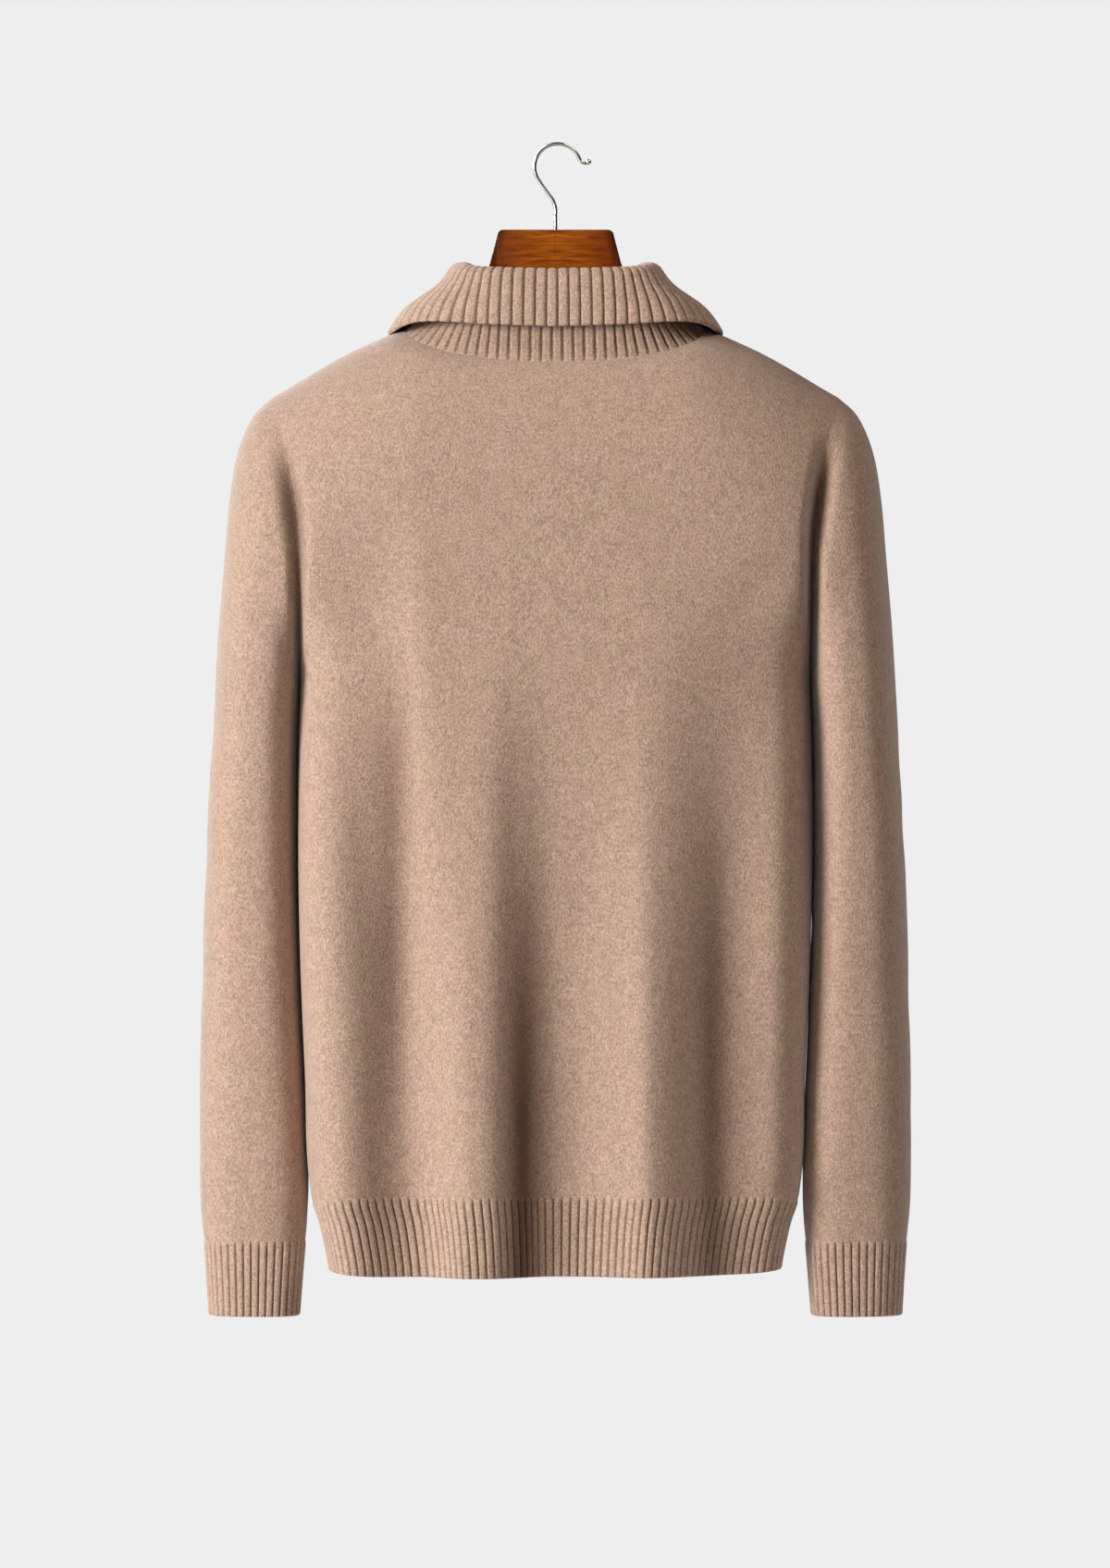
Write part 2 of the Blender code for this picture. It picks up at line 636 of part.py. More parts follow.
def make_body():
    """Add every cloth piece."""
    grids, normals = body_grids()
    steps = {name: -normal * WALL for name, normal in normals.items()}
    bands = {"band_left": band_points(1), "band_right": band_points(-1)}
    make_sleeves(grids, normals, steps)
    make_collar(grids, normals, steps, bands)
    hem_start = ARMHOLE_ROWS + BODY_ROWS
    for name, grid in grids.items():
        sides = ("first", "last")
        for piece, rows, finish, edges in (
                (name, slice(0, hem_start + 1), WOOL, ("top", "bottom") + sides),
                ("hem_" + name, slice(hem_start, None), RIB, ("top",) + sides)):
            outer_part = grid[rows].copy()
            inner_part = outer_part + steps[name][rows]
            draw_back(outer_part, inner_part, edges)
            make_wall(piece, outer_part, inner_part, finish)
    for name, grid in bands.items():
        step = np.zeros(grid.shape)
        step[..., 1] = WALL
        step[0] = steps[name.replace("band", "front")][0, 0]
        inner = grid + step
        draw_back(grid, inner, ("top", "first"))
        make_wall(name, grid, inner, RIB)


# ---- hard pieces ----

def make_rings(name, rings, finish):
    """Add a solid through rings of equal count, with flat ends."""
    count = len(rings[0])
    points = [p for ring in rings for p in ring]
    faces = [tuple(range(count))]
    for i in range(len(rings) - 1):
        for j in range(count):
            k = (j + 1) % count
            a, b = i * count, (i + 1) * count
            faces.append((a + j, a + k, b + k, b + j))
    faces.append(tuple(range(len(points) - 1, len(points) - 1 - count, -1)))
    return make_object(name, points, faces, finish)


def make_buttons():
    """Add the buttons in a row down the buttonhole band."""
    sides = 20
    profile = ((BUTTON_RADIUS - BUTTON_RIM, 0.0), (BUTTON_RADIUS, BUTTON_RIM),
               (BUTTON_RADIUS, BUTTON_THICK - BUTTON_RIM),
               (BUTTON_RADIUS - BUTTON_RIM, BUTTON_THICK))
    for number, z in enumerate(np.linspace(BUTTON_TOP_Z, BUTTON_BOTTOM_Z, BUTTON_COUNT), 1):
        surface = min(body_y(-1, 0.0, z + d) for d in (-BUTTON_RADIUS, 0.0, BUTTON_RADIUS))
        face = surface - BUTTON_GAP
        rings = []
        for radius, height in profile:
            rings.append([(radius * cos(2 * pi * k / sides), face - height,
                           z + radius * sin(2 * pi * k / sides)) for k in range(sides)])
        make_rings(f"button_{number}", rings, HORN)


def make_hanger():
    """Add the two halves of the wooden hanger."""
    for side, name in ((1, "left"), (-1, "right")):
        rings = []
        for x, top, bottom, half_thick, squareness in HANGER.rows:
            middle, half_height = (top + bottom) / 2, (top - bottom) / 2
            ring = []
            for k in range(HANGER_SIDES):
                turn = 2 * pi * (k + 0.5) / HANGER_SIDES
                across = np.sign(cos(turn)) * abs(cos(turn)) ** (2 / squareness)
                up = np.sign(sin(turn)) * abs(sin(turn)) ** (2 / squareness)
                ring.append((side * x, half_thick * across, middle + half_height * up))
            rings.append(ring)
        make_rings("hanger_" + name, rings, WOOD)


def hook_path():
    """Return the wire's middle line, from the ball end round the loop and down the stem."""
    centre_x, centre_z = -HOOK_OFFSET, -(HOOK_RADIUS - WIRE_RADIUS)
    path = []
    for degrees in np.linspace(HOOK_START, HOOK_END, 22):
        turn = radians(degrees)
        path.append((centre_x - HOOK_RADIUS * cos(turn), 0.0, centre_z + HOOK_RADIUS * sin(turn)))
    flare = ((-0.0075, -0.0031), (-0.0046, -0.0040), (-0.0018, -0.0029))
    start = path[0]
    outwards = [(start[0] + dx, 0.0, start[2] + dz) for dx, dz in flare]
    end = path[-1]
    turn = radians(HOOK_END)
    bend_z = end[2] - end[0] * cos(turn) / sin(turn)
    for share in (0.5, 0.85):
        path.append((end[0] * (1 - share), 0.0, end[2] + (bend_z - end[2]) * share))
    path.append((0.0, 0.0, bend_z - 0.003))
    path.append((0.0, 0.0, WOOD_TOP_Z + STEM_GAP))
    return outwards + path


def make_hook():
    """Add the bent wire with its ball end."""
    path = np.array(hook_path())
    sides = 8
    tangents = unit(np.gradient(path, axis=0))
    across = np.array((0.0, 1.0, 0.0))
    first, tangent = path[0], tangents[0]
    ball = []
    for reach, radius in ((1.0, 0.35), (0.75, 0.75), (0.2, 1.0), (-0.5, 0.85)):
        ball.append((first - tangent * BALL_RADIUS * reach, tangent, BALL_RADIUS * radius))
    stations = ball + [(p, t, WIRE_RADIUS) for p, t in zip(path[1:], tangents[1:])]
    rings = []
    for point, direction, radius in stations:
        up = np.cross(direction, across)
        rings.append([point + radius * (across * cos(2 * pi * k / sides)
                                        + up * sin(2 * pi * k / sides)) for k in range(sides)])
    make_rings("hook", rings, STEEL)


for old in list(bpy.data.objects):
    bpy.data.objects.remove(old)
make_body()
make_buttons()
make_hanger()
make_hook()
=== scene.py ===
from math import cos, pi, radians, sin

import bpy
import numpy as np
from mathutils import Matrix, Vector


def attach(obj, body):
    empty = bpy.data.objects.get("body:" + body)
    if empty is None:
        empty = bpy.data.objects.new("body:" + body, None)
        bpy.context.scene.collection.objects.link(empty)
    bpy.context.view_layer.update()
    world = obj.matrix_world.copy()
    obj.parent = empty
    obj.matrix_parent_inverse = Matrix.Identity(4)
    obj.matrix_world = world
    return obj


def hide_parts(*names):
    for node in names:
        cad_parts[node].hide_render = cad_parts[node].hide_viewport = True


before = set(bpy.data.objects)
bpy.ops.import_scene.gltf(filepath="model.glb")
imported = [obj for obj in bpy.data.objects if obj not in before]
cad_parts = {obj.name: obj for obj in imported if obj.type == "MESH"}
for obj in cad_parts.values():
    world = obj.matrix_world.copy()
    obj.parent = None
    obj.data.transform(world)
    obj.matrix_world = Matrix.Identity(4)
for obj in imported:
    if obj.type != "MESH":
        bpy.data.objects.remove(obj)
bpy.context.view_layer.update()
print("frame loaded")


# The cut that all the cloth shares.

cut = {
    "wall": 0.003,
    "seamRim": 0.0004,  # thickness that is left at a seam
    "seamSink": 0.0002,  # how deep a seam lies
    "seamWidth": 0.0022,
    "seamRun": 0.006,  # from a seam to the full thickness
    "freeRim": 0.02,  # share of the thickness that is left at a free edge
    "neckHalf": 0.107,
    "backNeckDrop": 0.0256,
    "frontNeckDrop": 0.085,
    "tipHalf": 0.202,  # from the middle to the tip of a shoulder
    "neckLevelZ": -0.1262,
    "shoulderStart": 0.103,
    "shoulderEase": 0.010,
    "shoulderSlope": 0.542,
    "shoulderBow": 0.002,
    "shoulderRound": 0.12,
    "armholeHalf": 0.1812,
    "armholeTurnZ": -0.2855,
    "underarmZ": -0.3812,
    "armholeReach": 0.80,
    "armholeHollow": 1.6,
    "squareness": 3.6,  # of the body's section, 2 is an ellipse
    "rowEase": 1.1,  # how the upper rows crowd at the neck and the underarm
    "hemTopZ": -0.7468,
    "hemBottomZ": -0.8038,
    "hemSeamDip": 0.0045,
    "hemSideRise": 0.003,
    "sidePower": 8,  # how closely that dip and rise keep to the sides
    "bandHalf": 0.0155,
    "bandEnd": 0.0128,
    "overlapLift": 0.0037,
    "liftStart": 0.060,
    "armholeDip": 0.011,  # how deep the crease along the left armhole gets
    "rightDip": 0.016,  # and the one along the right armhole
    "dipTopZ": -0.200,  # both start here
    "dipRun": 0.060,
    "dipFade": 0.040,  # they fade where the seam is this near to the side's middle
    "dipShade": 0.5,  # share of shade in the left one
    "flankStart": 0.06,  # from here out the folds start higher
    "flankRun": 0.04,
    "foldLead": 0.120,  # the left side's by this much
    "rightLead": 0.035,  # and the right side's by this much
    "foldSlant": 0.06,  # the left ones run in towards the hem by this share
    "creaseEnds": 0.35,  # share of a small crease's depth that is left at its ends
    "creaseSwell": 0.8,  # and how it deepens between them, lower is flatter
}

# z, half width, depth of the back, depth of the front, share of the folds
bodyRows = np.array([
    (-0.8088, 0.1600, 0.0795, 0.0875, 1.00),
    (-0.7980, 0.1612, 0.0800, 0.0880, 1.00),
    (-0.7805, 0.1645, 0.0810, 0.0890, 1.00),
    (-0.7660, 0.1680, 0.0825, 0.0905, 1.00),
    (-0.7520, 0.1728, 0.0845, 0.0925, 1.00),
    (-0.7405, 0.1746, 0.0850, 0.0930, 1.00),
    (-0.6613, 0.1782, 0.0880, 0.0950, 0.95),
    (-0.5820, 0.1815, 0.0900, 0.0960, 0.74),
    (-0.4900, 0.1832, 0.0905, 0.0950, 0.42),
    (-0.4240, 0.1826, 0.0895, 0.0930, 0.20),
    (-0.3812, 0.1812, 0.0880, 0.0910, 0.07),
    (-0.3000, 0.1812, 0.0870, 0.0890, 0.00),
    (-0.1200, 0.1812, 0.0870, 0.0880, 0.00),
])

# x, height of the long folds, and the same for the front
backFolds = np.array([
    (-0.1830, -0.0120),
    (-0.1745, -0.0165),
    (-0.1646, -0.0180),
    (-0.1547, -0.0201),
    (-0.1448, -0.0242),
    (-0.1349, -0.0285),
    (-0.1250, -0.0305),
    (-0.1152, -0.0290),
    (-0.1053, -0.0240),
    (-0.0954, -0.0170),
    (-0.0855, -0.0105),
    (-0.0756, -0.0055),
    (-0.0637, -0.0030),
    (-0.0459, -0.0125),
    (-0.0261, -0.0215),
    (-0.0090, -0.0245),
    (0.0036, -0.0240),
    (0.0135, -0.0190),
    (0.0234, -0.0100),
    (0.0333, -0.0015),
    (0.0432, 0.0055),
    (0.0560, 0.0080),
    (0.0650, 0.0065),
    (0.0729, 0.0015),
    (0.0828, -0.0080),
    (0.0927, -0.0148),
    (0.1026, -0.0160),
    (0.1125, -0.0123),
    (0.1224, -0.0058),
    (0.1323, 0.0018),
    (0.1422, 0.0085),
    (0.1508, 0.0130),
    (0.1620, 0.0165),
    (0.1720, 0.0170),
    (0.1830, 0.0160),
])
frontFolds = np.array([
    (-0.1830, 0.000),
    (-0.1440, 0.004),
    (-0.0980, -0.009),
    (-0.0500, 0.003),
    (0.0000, 0.001),
    (0.0560, 0.005),
    (0.0900, -0.010),
    (0.1380, 0.004),
    (0.1830, 0.000),
])

# small creases: x and z of both ends, width, depth (a trough is positive)
backCreases = [
    (0.165, -0.300, 0.120, -0.352, 0.012, 0.0012),
    (-0.168, -0.290, -0.118, -0.345, 0.012, 0.0014),
    (0.150, -0.420, 0.128, -0.560, 0.014, 0.0010),
    (-0.035, -0.470, -0.012, -0.600, 0.016, 0.0009),
    (0.070, -0.560, 0.062, -0.700, 0.012, -0.0008),
    (-0.100, -0.480, -0.094, -0.640, 0.014, -0.0008),
    (-0.150, -0.610, -0.140, -0.740, 0.010, 0.0012),
    (-0.1665, -0.330, -0.1655, -0.640, 0.017, -0.0058),
]
frontCreases = [
    (0.166, -0.285, 0.110, -0.350, 0.013, 0.0018),
    (-0.166, -0.290, -0.104, -0.362, 0.013, 0.0020),
    (0.120, -0.190, 0.070, -0.262, 0.016, 0.0012),
    (-0.116, -0.196, -0.066, -0.270, 0.016, 0.0013),
    (0.034, -0.300, 0.060, -0.470, 0.012, 0.0012),
    (-0.036, -0.420, -0.064, -0.590, 0.013, 0.0013),
    (0.120, -0.560, 0.108, -0.735, 0.012, -0.0010),
    (-0.130, -0.520, -0.118, -0.700, 0.012, -0.0010),
]

# the deep shade in a long fold of the back: x, width, strength, z of its top,
# length over which it deepens, and z where it ends
backShades = [
    (0.0232, 0.0108, 0.88, -0.480, 0.220, -2.00),
    (0.0340, 0.0095, 0.24, -0.340, 0.140, -0.68),
    (-0.1110, 0.0095, 0.52, -0.420, 0.220, -2.00),
    (0.1300, 0.0120, 0.26, -0.490, 0.220, -2.00),
    (0.1155, 0.0125, 0.50, -0.330, 0.130, -0.74),
]
shadeFade = 0.18  # length over which a shade ends


def readRows(rows, column, keys):  # a smooth curve through the rows, along their first column
    places, values = rows[:, 0], rows[:, column]
    slopes = np.gradient(values, places)
    keys = np.clip(keys, places[0], places[-1])
    i = np.clip(np.searchsorted(places, keys, side="right") - 1, 0, len(places) - 2)
    span = places[i + 1] - places[i]
    t = (keys - places[i]) / span
    level = values[i] * (1 + 2 * t) * (1 - t) ** 2 + values[i + 1] * t * t * (3 - 2 * t)
    return level + span * (slopes[i] * t * (1 - t) ** 2 - slopes[i + 1] * t * t * (1 - t))


def softStep(t):
    t = np.clip(t, 0, 1)
    return t * t * (3 - 2 * t)


def bell(distance, width):
    return np.exp(-((distance / width) ** 2))


def unit(vectors):
    return vectors / np.maximum(np.linalg.norm(vectors, axis=-1, keepdims=True), 1e-12)


def shoulderZ(x):
    reach = (np.abs(x) - cut["shoulderStart"]) / cut["shoulderEase"]
    run = cut["shoulderEase"] * np.logaddexp(0, reach)
    f = np.clip((np.abs(x) - cut["neckHalf"]) / (cut["tipHalf"] - cut["neckHalf"]), 0, 1)
    bow = cut["shoulderBow"] * np.sin(pi * f) ** 2
    return cut["neckLevelZ"] - cut["shoulderSlope"] * run + bow


neckTopZ = float(shoulderZ(cut["neckHalf"]))
tipZ = float(shoulderZ(cut["tipHalf"]))


def armholeX(z):
    f = np.clip((z - cut["armholeTurnZ"]) / (tipZ - cut["armholeTurnZ"]), 0, 1)
    return cut["armholeHalf"] + (cut["tipHalf"] - cut["armholeHalf"]) * f ** cut["armholeHollow"]


def bodyReach(z):
    f = softStep((z - cut["underarmZ"]) / (cut["armholeTurnZ"] - cut["underarmZ"]))
    above = armholeX(z) / (1 - (1 - cut["armholeReach"]) * f)
    return np.where(z <= cut["underarmZ"], readRows(bodyRows, 1, z), above)


def creaseHeight(creases, x, z):
    height = np.zeros(np.broadcast(x, z).shape)
    for x0, z0, x1, z1, width, depth in creases:
        runX, runZ = x1 - x0, z1 - z0
        t = ((x - x0) * runX + (z - z0) * runZ) / (runX ** 2 + runZ ** 2)
        near = np.clip(t, 0, 1)
        away = np.hypot(x - x0 - runX * near, z - z0 - runZ * near)
        swell = np.sin(pi * near) ** cut["creaseSwell"]
        swell = cut["creaseEnds"] + (1 - cut["creaseEnds"]) * swell
        height -= depth * swell * bell(away, width)
    return height


def flankShare(x):
    return softStep((x - cut["flankStart"]) / cut["flankRun"])


def bodyY(face, x, z):  # face 1 is the back, -1 the front
    depth = readRows(bodyRows, 2 if face > 0 else 3, z)
    folds = backFolds if face > 0 else frontFolds
    across = np.clip(np.abs(x) / bodyReach(z), 0, 1)
    section = (1 - across ** cut["squareness"]) ** (1 / cut["squareness"])
    fall = np.clip((shoulderZ(x) - z) / cut["shoulderRound"], 0, 1)
    rounding = np.sqrt(1 - (1 - fall) ** 2)
    lead = np.where(x > 0, cut["foldLead"], cut["rightLead"]) * flankShare(np.abs(x))
    slant = cut["foldSlant"] * (z - cut["hemTopZ"]) * flankShare(x) * (face > 0)
    height = readRows(folds, 1, x - slant)
    fold = readRows(bodyRows, 4, z - lead) * height * section * (2 - section)
    fold = fold + creaseHeight(backCreases if face > 0 else frontCreases, x, z) * section
    lift = 0.0
    if face < 0:
        rise = softStep((cut["liftStart"] - x) / (cut["liftStart"] - cut["bandHalf"]))
        lift = cut["overlapLift"] * rise * (x > -cut["bandHalf"])
    return face * (depth * section * rounding + fold + lift)


def foldShade(x, z):  # how much of the light a fold keeps from its own flank
    total = 0.0
    for place, width, share, top, run, end in backShades:
        along = softStep((top - z) / run) * softStep((z - end) / shadeFade)
        total = total + share * bell(x - place, width) * along
    return total


def armholeDip(points):  # depth of the crease beside each point of an armhole seam
    start = softStep((cut["dipTopZ"] - points[..., 2]) / cut["dipRun"])
    deep = np.where(points[..., 0] > 0, cut["armholeDip"], cut["rightDip"])
    return deep * start * np.clip(np.abs(points[..., 1]) / cut["dipFade"], 0, 1)


def neckZ(face, x):
    drop = cut["backNeckDrop"] if face > 0 else cut["frontNeckDrop"]
    return neckTopZ - drop * np.sqrt(np.clip(1 - (x / cut["neckHalf"]) ** 2, 0, 1))


def sideShift(level):
    fallen = cut["underarmZ"] - cut["hemTopZ"]
    down = np.clip((cut["underarmZ"] - level) / fallen, 0, 1)
    hem = np.maximum((cut["hemTopZ"] - level) / (cut["hemTopZ"] - cut["hemBottomZ"]), 0)
    return -cut["hemSeamDip"] * down * (1 - hem) + cut["hemSideRise"] * hem


def evenAlong(points, count):  # parameters that divide a curve evenly
    length = np.concatenate(([0], np.cumsum(np.linalg.norm(np.diff(points, axis=0), axis=1))))
    return np.interp(np.linspace(0, length[-1], count), length, np.linspace(0, 1, len(points)))


def rowShares(count):
    steps = np.arange(count + 1) / count
    return (1 - np.cos(pi * steps ** cut["rowEase"])) / 2


def toEdge(length, count, radius=0.0015, turns=5):  # places that crowd at a strip's free end
    straight = np.linspace(0, length - radius, count)
    bend = length - radius + radius * np.sin(np.linspace(0, pi / 2, turns + 1))[1:]
    return np.concatenate((straight, bend))


# Cloth walls, built between an outer and an inner grid of points.

ribs = {
    "ridge": 0.0005,  # how far a rib stands out
    "groove": 0.0014,  # how deep the furrow between two lies
    "fullness": 4.0,  # how flat a rib's back is
    "hardness": 0.65,  # and how steep its sides are
    "fadeIn": 0.0035,  # a rib starts softly at its seam
}


def ribShape(phase, fullness, hardness):  # 0 in the furrow and 1 along the ridge
    return (1 - np.abs(2 * (phase % 1) - 1) ** fullness) ** hardness


def ribHeight(shape, ridge, groove):
    return (ridge + groove) * shape - groove


def ribWave(phase):  # the height of the ribs, and how far each place lies in a furrow, which sets the painted shade there
    shape = ribShape(phase, ribs["fullness"], ribs["hardness"])
    return ribHeight(shape, ribs["ridge"], ribs["groove"]), 1 - shape


def gridNormals(grid, closed=False):
    if closed:
        along = np.roll(grid, -1, axis=1) - np.roll(grid, 1, axis=1)
    else:
        along = np.gradient(grid, axis=1)
    return unit(np.cross(np.gradient(grid, axis=0), along))


def lengths(grid, axis):  # distance along the grid from its first row or column
    steps = np.linalg.norm(np.diff(grid, axis=axis), axis=2)
    start = np.zeros((1, grid.shape[1]) if axis == 0 else (grid.shape[0], 1))
    return np.concatenate((start, np.cumsum(steps, axis=axis)), axis=axis)


def makeCloth(name, base, normal, edges, finish, outerRib=0.0, innerRib=0.0, furrowShade=0.0,
              paintedShade=0.0, closed=False):
    # base is the outer surface; edges names each side as a seam or as free
    down, across = lengths(base, 0), lengths(base, 1)
    near = {"top": down, "bottom": down[-1:] - down,
            "first": across, "last": across[:, -1:] - across}
    seam = np.full(base.shape[:2], 1.0)
    free = np.full(base.shape[:2], 1.0)
    for side, kind in edges.items():
        if kind == "seam":
            seam = np.minimum(seam, near[side])
        else:
            free = np.minimum(free, near[side])
    wall = cut["wall"]
    sink = cut["seamSink"] * bell(seam, cut["seamWidth"])
    thick = cut["seamRim"] + (wall - cut["seamRim"]) * softStep(seam / cut["seamRun"])
    rim = np.sqrt(1 - (1 - np.clip(free / (wall / 2), 0, 1)) ** 2)
    fade = softStep(seam / ribs["fadeIn"])
    half = thick / 2 * np.maximum(rim, cut["freeRim"])
    middle = base - normal * (thick / 2 + sink)[..., None]
    outer = middle + normal * (half + outerRib * fade * rim)[..., None]
    inner = middle - normal * (half + innerRib * fade * rim)[..., None]

    rows, columns = base.shape[:2]
    steps = np.arange(columns if closed else columns - 1)
    i, j = np.meshgrid(np.arange(rows - 1), steps, indexing="ij")
    k = (j + 1) % columns
    front = (i * columns + j, i * columns + k, (i + 1) * columns + k, (i + 1) * columns + j)
    front = np.stack(front, -1).reshape(-1, 4)
    far = rows * columns
    quads = [front, front[:, ::-1] + far]
    j, k = steps, (steps + 1) % columns
    low = (rows - 1) * columns
    quads.append(np.stack((far + j, far + k, k, j), -1))
    quads.append(np.stack((low + j, low + k, far + low + k, far + low + j), -1))
    if not closed:
        i = np.arange(rows - 1)
        a, b = i * columns, (i + 1) * columns
        quads.append(np.stack((a, b, far + b, far + a), -1))
        a, b = a + columns - 1, b + columns - 1
        quads.append(np.stack((far + a, far + b, b, a), -1))
    quads = np.concatenate(quads)
    points = np.concatenate((outer.reshape(-1, 3), inner.reshape(-1, 3)))
    p = points[front[len(front) // 2]]
    facing = np.cross(p[2] - p[0], p[3] - p[1]) @ normal.reshape(-1, 3)[front[len(front) // 2][0]]
    if facing < 0:
        quads = quads[:, ::-1]

    mesh = bpy.data.meshes.new(name)
    mesh.vertices.add(len(points))
    mesh.vertices.foreach_set("co", points.ravel())
    mesh.loops.add(quads.size)
    mesh.loops.foreach_set("vertex_index", quads.ravel())
    mesh.polygons.add(len(quads))
    mesh.polygons.foreach_set("loop_start", np.arange(0, quads.size, 4))
    mesh.update(calc_edges=True)
    mesh.shade_smooth()
    # two masks of painted shade: in the rib furrows, and in folds, creases and gaps
    for word, depth in (("furrowShade", furrowShade * fade), ("shade", paintedShade)):
        both = np.tile(np.broadcast_to(depth, (rows, columns)).ravel(), 2)
        layer = mesh.attributes.new(word, "FLOAT", "POINT")
        layer.data.foreach_set("value", both.astype(np.float32))
    ends = np.empty(2 * len(mesh.edges), np.int32)
    mesh.edges.foreach_get("vertices", ends)
    wallSide, place = np.divmod(ends.reshape(-1, 2), far)
    row, column = np.divmod(place, columns)
    border = {"top": row == 0, "bottom": row == rows - 1,
              "first": column == 0, "last": column == columns - 1}
    crisp = np.zeros(len(ends) // 2, bool)  # a seam's edge is crisp, so no shading runs round it
    for side, kind in edges.items():
        if kind == "seam":
            crisp |= border[side].all(axis=1) & (wallSide[:, 0] == wallSide[:, 1])
    mesh.attributes.new("sharp_edge", "BOOLEAN", "EDGE").data.foreach_set("value", crisp)
    flat = np.stack((across - across.mean(), down), -1).reshape(-1, 2)
    flat = np.concatenate((flat, flat))
    layer = mesh.uv_layers.new(name="cloth")
    layer.data.foreach_set("uv", flat[quads.ravel()].ravel().astype(np.float32))
    mesh.materials.append(finish)
    piece = bpy.data.objects.new(name, mesh)
    bpy.context.scene.collection.objects.link(piece)
    area = 0.5 * np.linalg.norm(np.cross(points[front[:, 2]] - points[front[:, 0]],
                                         points[front[:, 3]] - points[front[:, 1]]), axis=1).sum()
    print(f"{name}: {2 * len(quads)} triangles, {area:.4f} square metres of cloth")
    return piece


# Finishes of the wool.

def newMaterial(name):
    material = bpy.data.materials.new(name)
    material.use_nodes = True
    tree = material.node_tree
    return material, tree, tree.nodes["Principled BSDF"]


def feed(node, sockets):  # gives each socket its value, or a link from another node
    for socket, value in sockets.items():
        if isinstance(value, bpy.types.NodeSocket):
            node.id_data.links.new(value, node.inputs[socket])
        else:
            node.inputs[socket].default_value = value


def addNode(tree, kind, sockets, **settings):
    node = tree.nodes.new("ShaderNode" + kind)
    for key, value in settings.items():
        setattr(node, key, value)
    feed(node, sockets)
    return node


def addNoise(tree, vector, scale, detail, **more):
    sockets = {"Vector": vector, "Scale": scale, "Detail": detail}
    return addNode(tree, "TexNoise", sockets | more).outputs["Fac"]


def addRange(tree, value, source=(0.0, 1.0), target=(0.0, 1.0)):
    return addNode(tree, "MapRange", {
        "Value": value, "From Min": source[0], "From Max": source[1],
        "To Min": target[0], "To Max": target[1]}).outputs["Result"]


def addMath(tree, operation, *values):
    return addNode(tree, "Math", dict(enumerate(values)), operation=operation).outputs["Value"]


def addMix(tree, factor, a, b, blend="MIX"):
    sockets = {"Factor": factor, "A": a, "B": b}
    mix = addNode(tree, "Mix", sockets, data_type="RGBA", blend_type=blend)
    return mix.outputs["Result"]


heatherLook = {
    "stretch": (1.0, 1.0, 0.7),  # the speckle runs a little longer up and down
    "grain": 820.0,
    "grainRoughness": 0.65,
    "clumps": 190.0,
    "clumpShare": 0.22,
    "contrast": (0.43, 0.79),
    "patches": 38.0,
    "patchRange": (0.36, 0.64),
    "stitches": 116.0,  # dashes down the painted shade of the furrows
    "stitchBend": 2.2,
    "dashes": (0.72, 1.08),
    # painted shade in the rib furrows
    "furrowShade": (0.34, 0.22, 0.15, 1),
    "gloom": (0.150, 0.072, 0.026, 1),  # the deep shade in folds and gaps
    "rosy": (1.0, 0.983, 0.982, 1),  # the casts of the soft patches
    "sandy": (0.99, 1.0, 0.95, 1),
    "nap": 1150.0,
}


def heatherGroup():  # speckled, softly mottled wool that both finishes use, with painted shade in its furrows, folds and gaps
    look = heatherLook
    group = bpy.data.node_groups.new("heather wool", "ShaderNodeTree")
    for name, side, kind, value in (
            ("Light", "INPUT", "Color", (0.6, 0.43, 0.33, 1)),
            ("Dark", "INPUT", "Color", (0.4, 0.27, 0.2, 1)),
            ("Rosy", "INPUT", "Color", look["rosy"]),
            ("Sandy", "INPUT", "Color", look["sandy"]),
            ("Grain", "INPUT", "Float", look["grain"]),
            ("FurrowShade", "INPUT", "Float", 0.5),
            ("Color", "OUTPUT", "Color", None),
            ("Nap", "OUTPUT", "Float", None)):
        socket = group.interface.new_socket(name, in_out=side, socket_type="NodeSocket" + kind)
        if value is not None:
            socket.default_value = value
    given = group.nodes.new("NodeGroupInput").outputs
    target = group.nodes.new("NodeGroupOutput")
    place = addNode(group, "TexCoord", {}).outputs["Object"]
    stretch = addNode(group, "Mapping", {"Vector": place, "Scale": look["stretch"]})
    stretch = stretch.outputs["Vector"]

    speckle = addNoise(group, stretch, given["Grain"], 2.0, Roughness=look["grainRoughness"])
    clumps = addNoise(group, stretch, look["clumps"], 2.0)
    both = addMath(group, "MULTIPLY_ADD", clumps, look["clumpShare"], speckle)
    fibres = addMix(group, addRange(group, both, look["contrast"]), given["Dark"], given["Light"])
    patches = addNoise(group, stretch, look["patches"], 3.0)
    patches = addRange(group, patches, look["patchRange"])
    cast = addMix(group, patches, given["Rosy"], given["Sandy"])
    tinted = addMix(group, 1.0, fibres, cast, "MULTIPLY")

    # painted shade in the rib furrows, broken into stitch dashes
    stitches = addNode(group, "TexWave", {
        "Vector": place, "Scale": look["stitches"], "Distortion": look["stitchBend"],
        "Detail Scale": 3.0}, bands_direction="Z")
    dashes = addRange(group, stitches.outputs["Fac"], target=look["dashes"])
    furrowShade = addNode(group, "Attribute", {}, attribute_name="furrowShade").outputs["Fac"]
    deep = addMath(group, "MULTIPLY", addMath(group, "MULTIPLY", furrowShade, dashes), given["FurrowShade"])
    furrowShaded = addMix(group, deep, tinted, look["furrowShade"], "MULTIPLY")
    # painted shade in deep folds, creases and gaps
    folds = addNode(group, "Attribute", {}, attribute_name="shade").outputs["Fac"]
    gloom = addMix(group, folds, furrowShaded, look["gloom"], "MULTIPLY")

    nap = addMath(group, "ADD", addNoise(group, stretch, look["nap"], 2.0), both)
    feed(target, {"Color": gloom, "Nap": nap})
    return group


heather = heatherGroup()

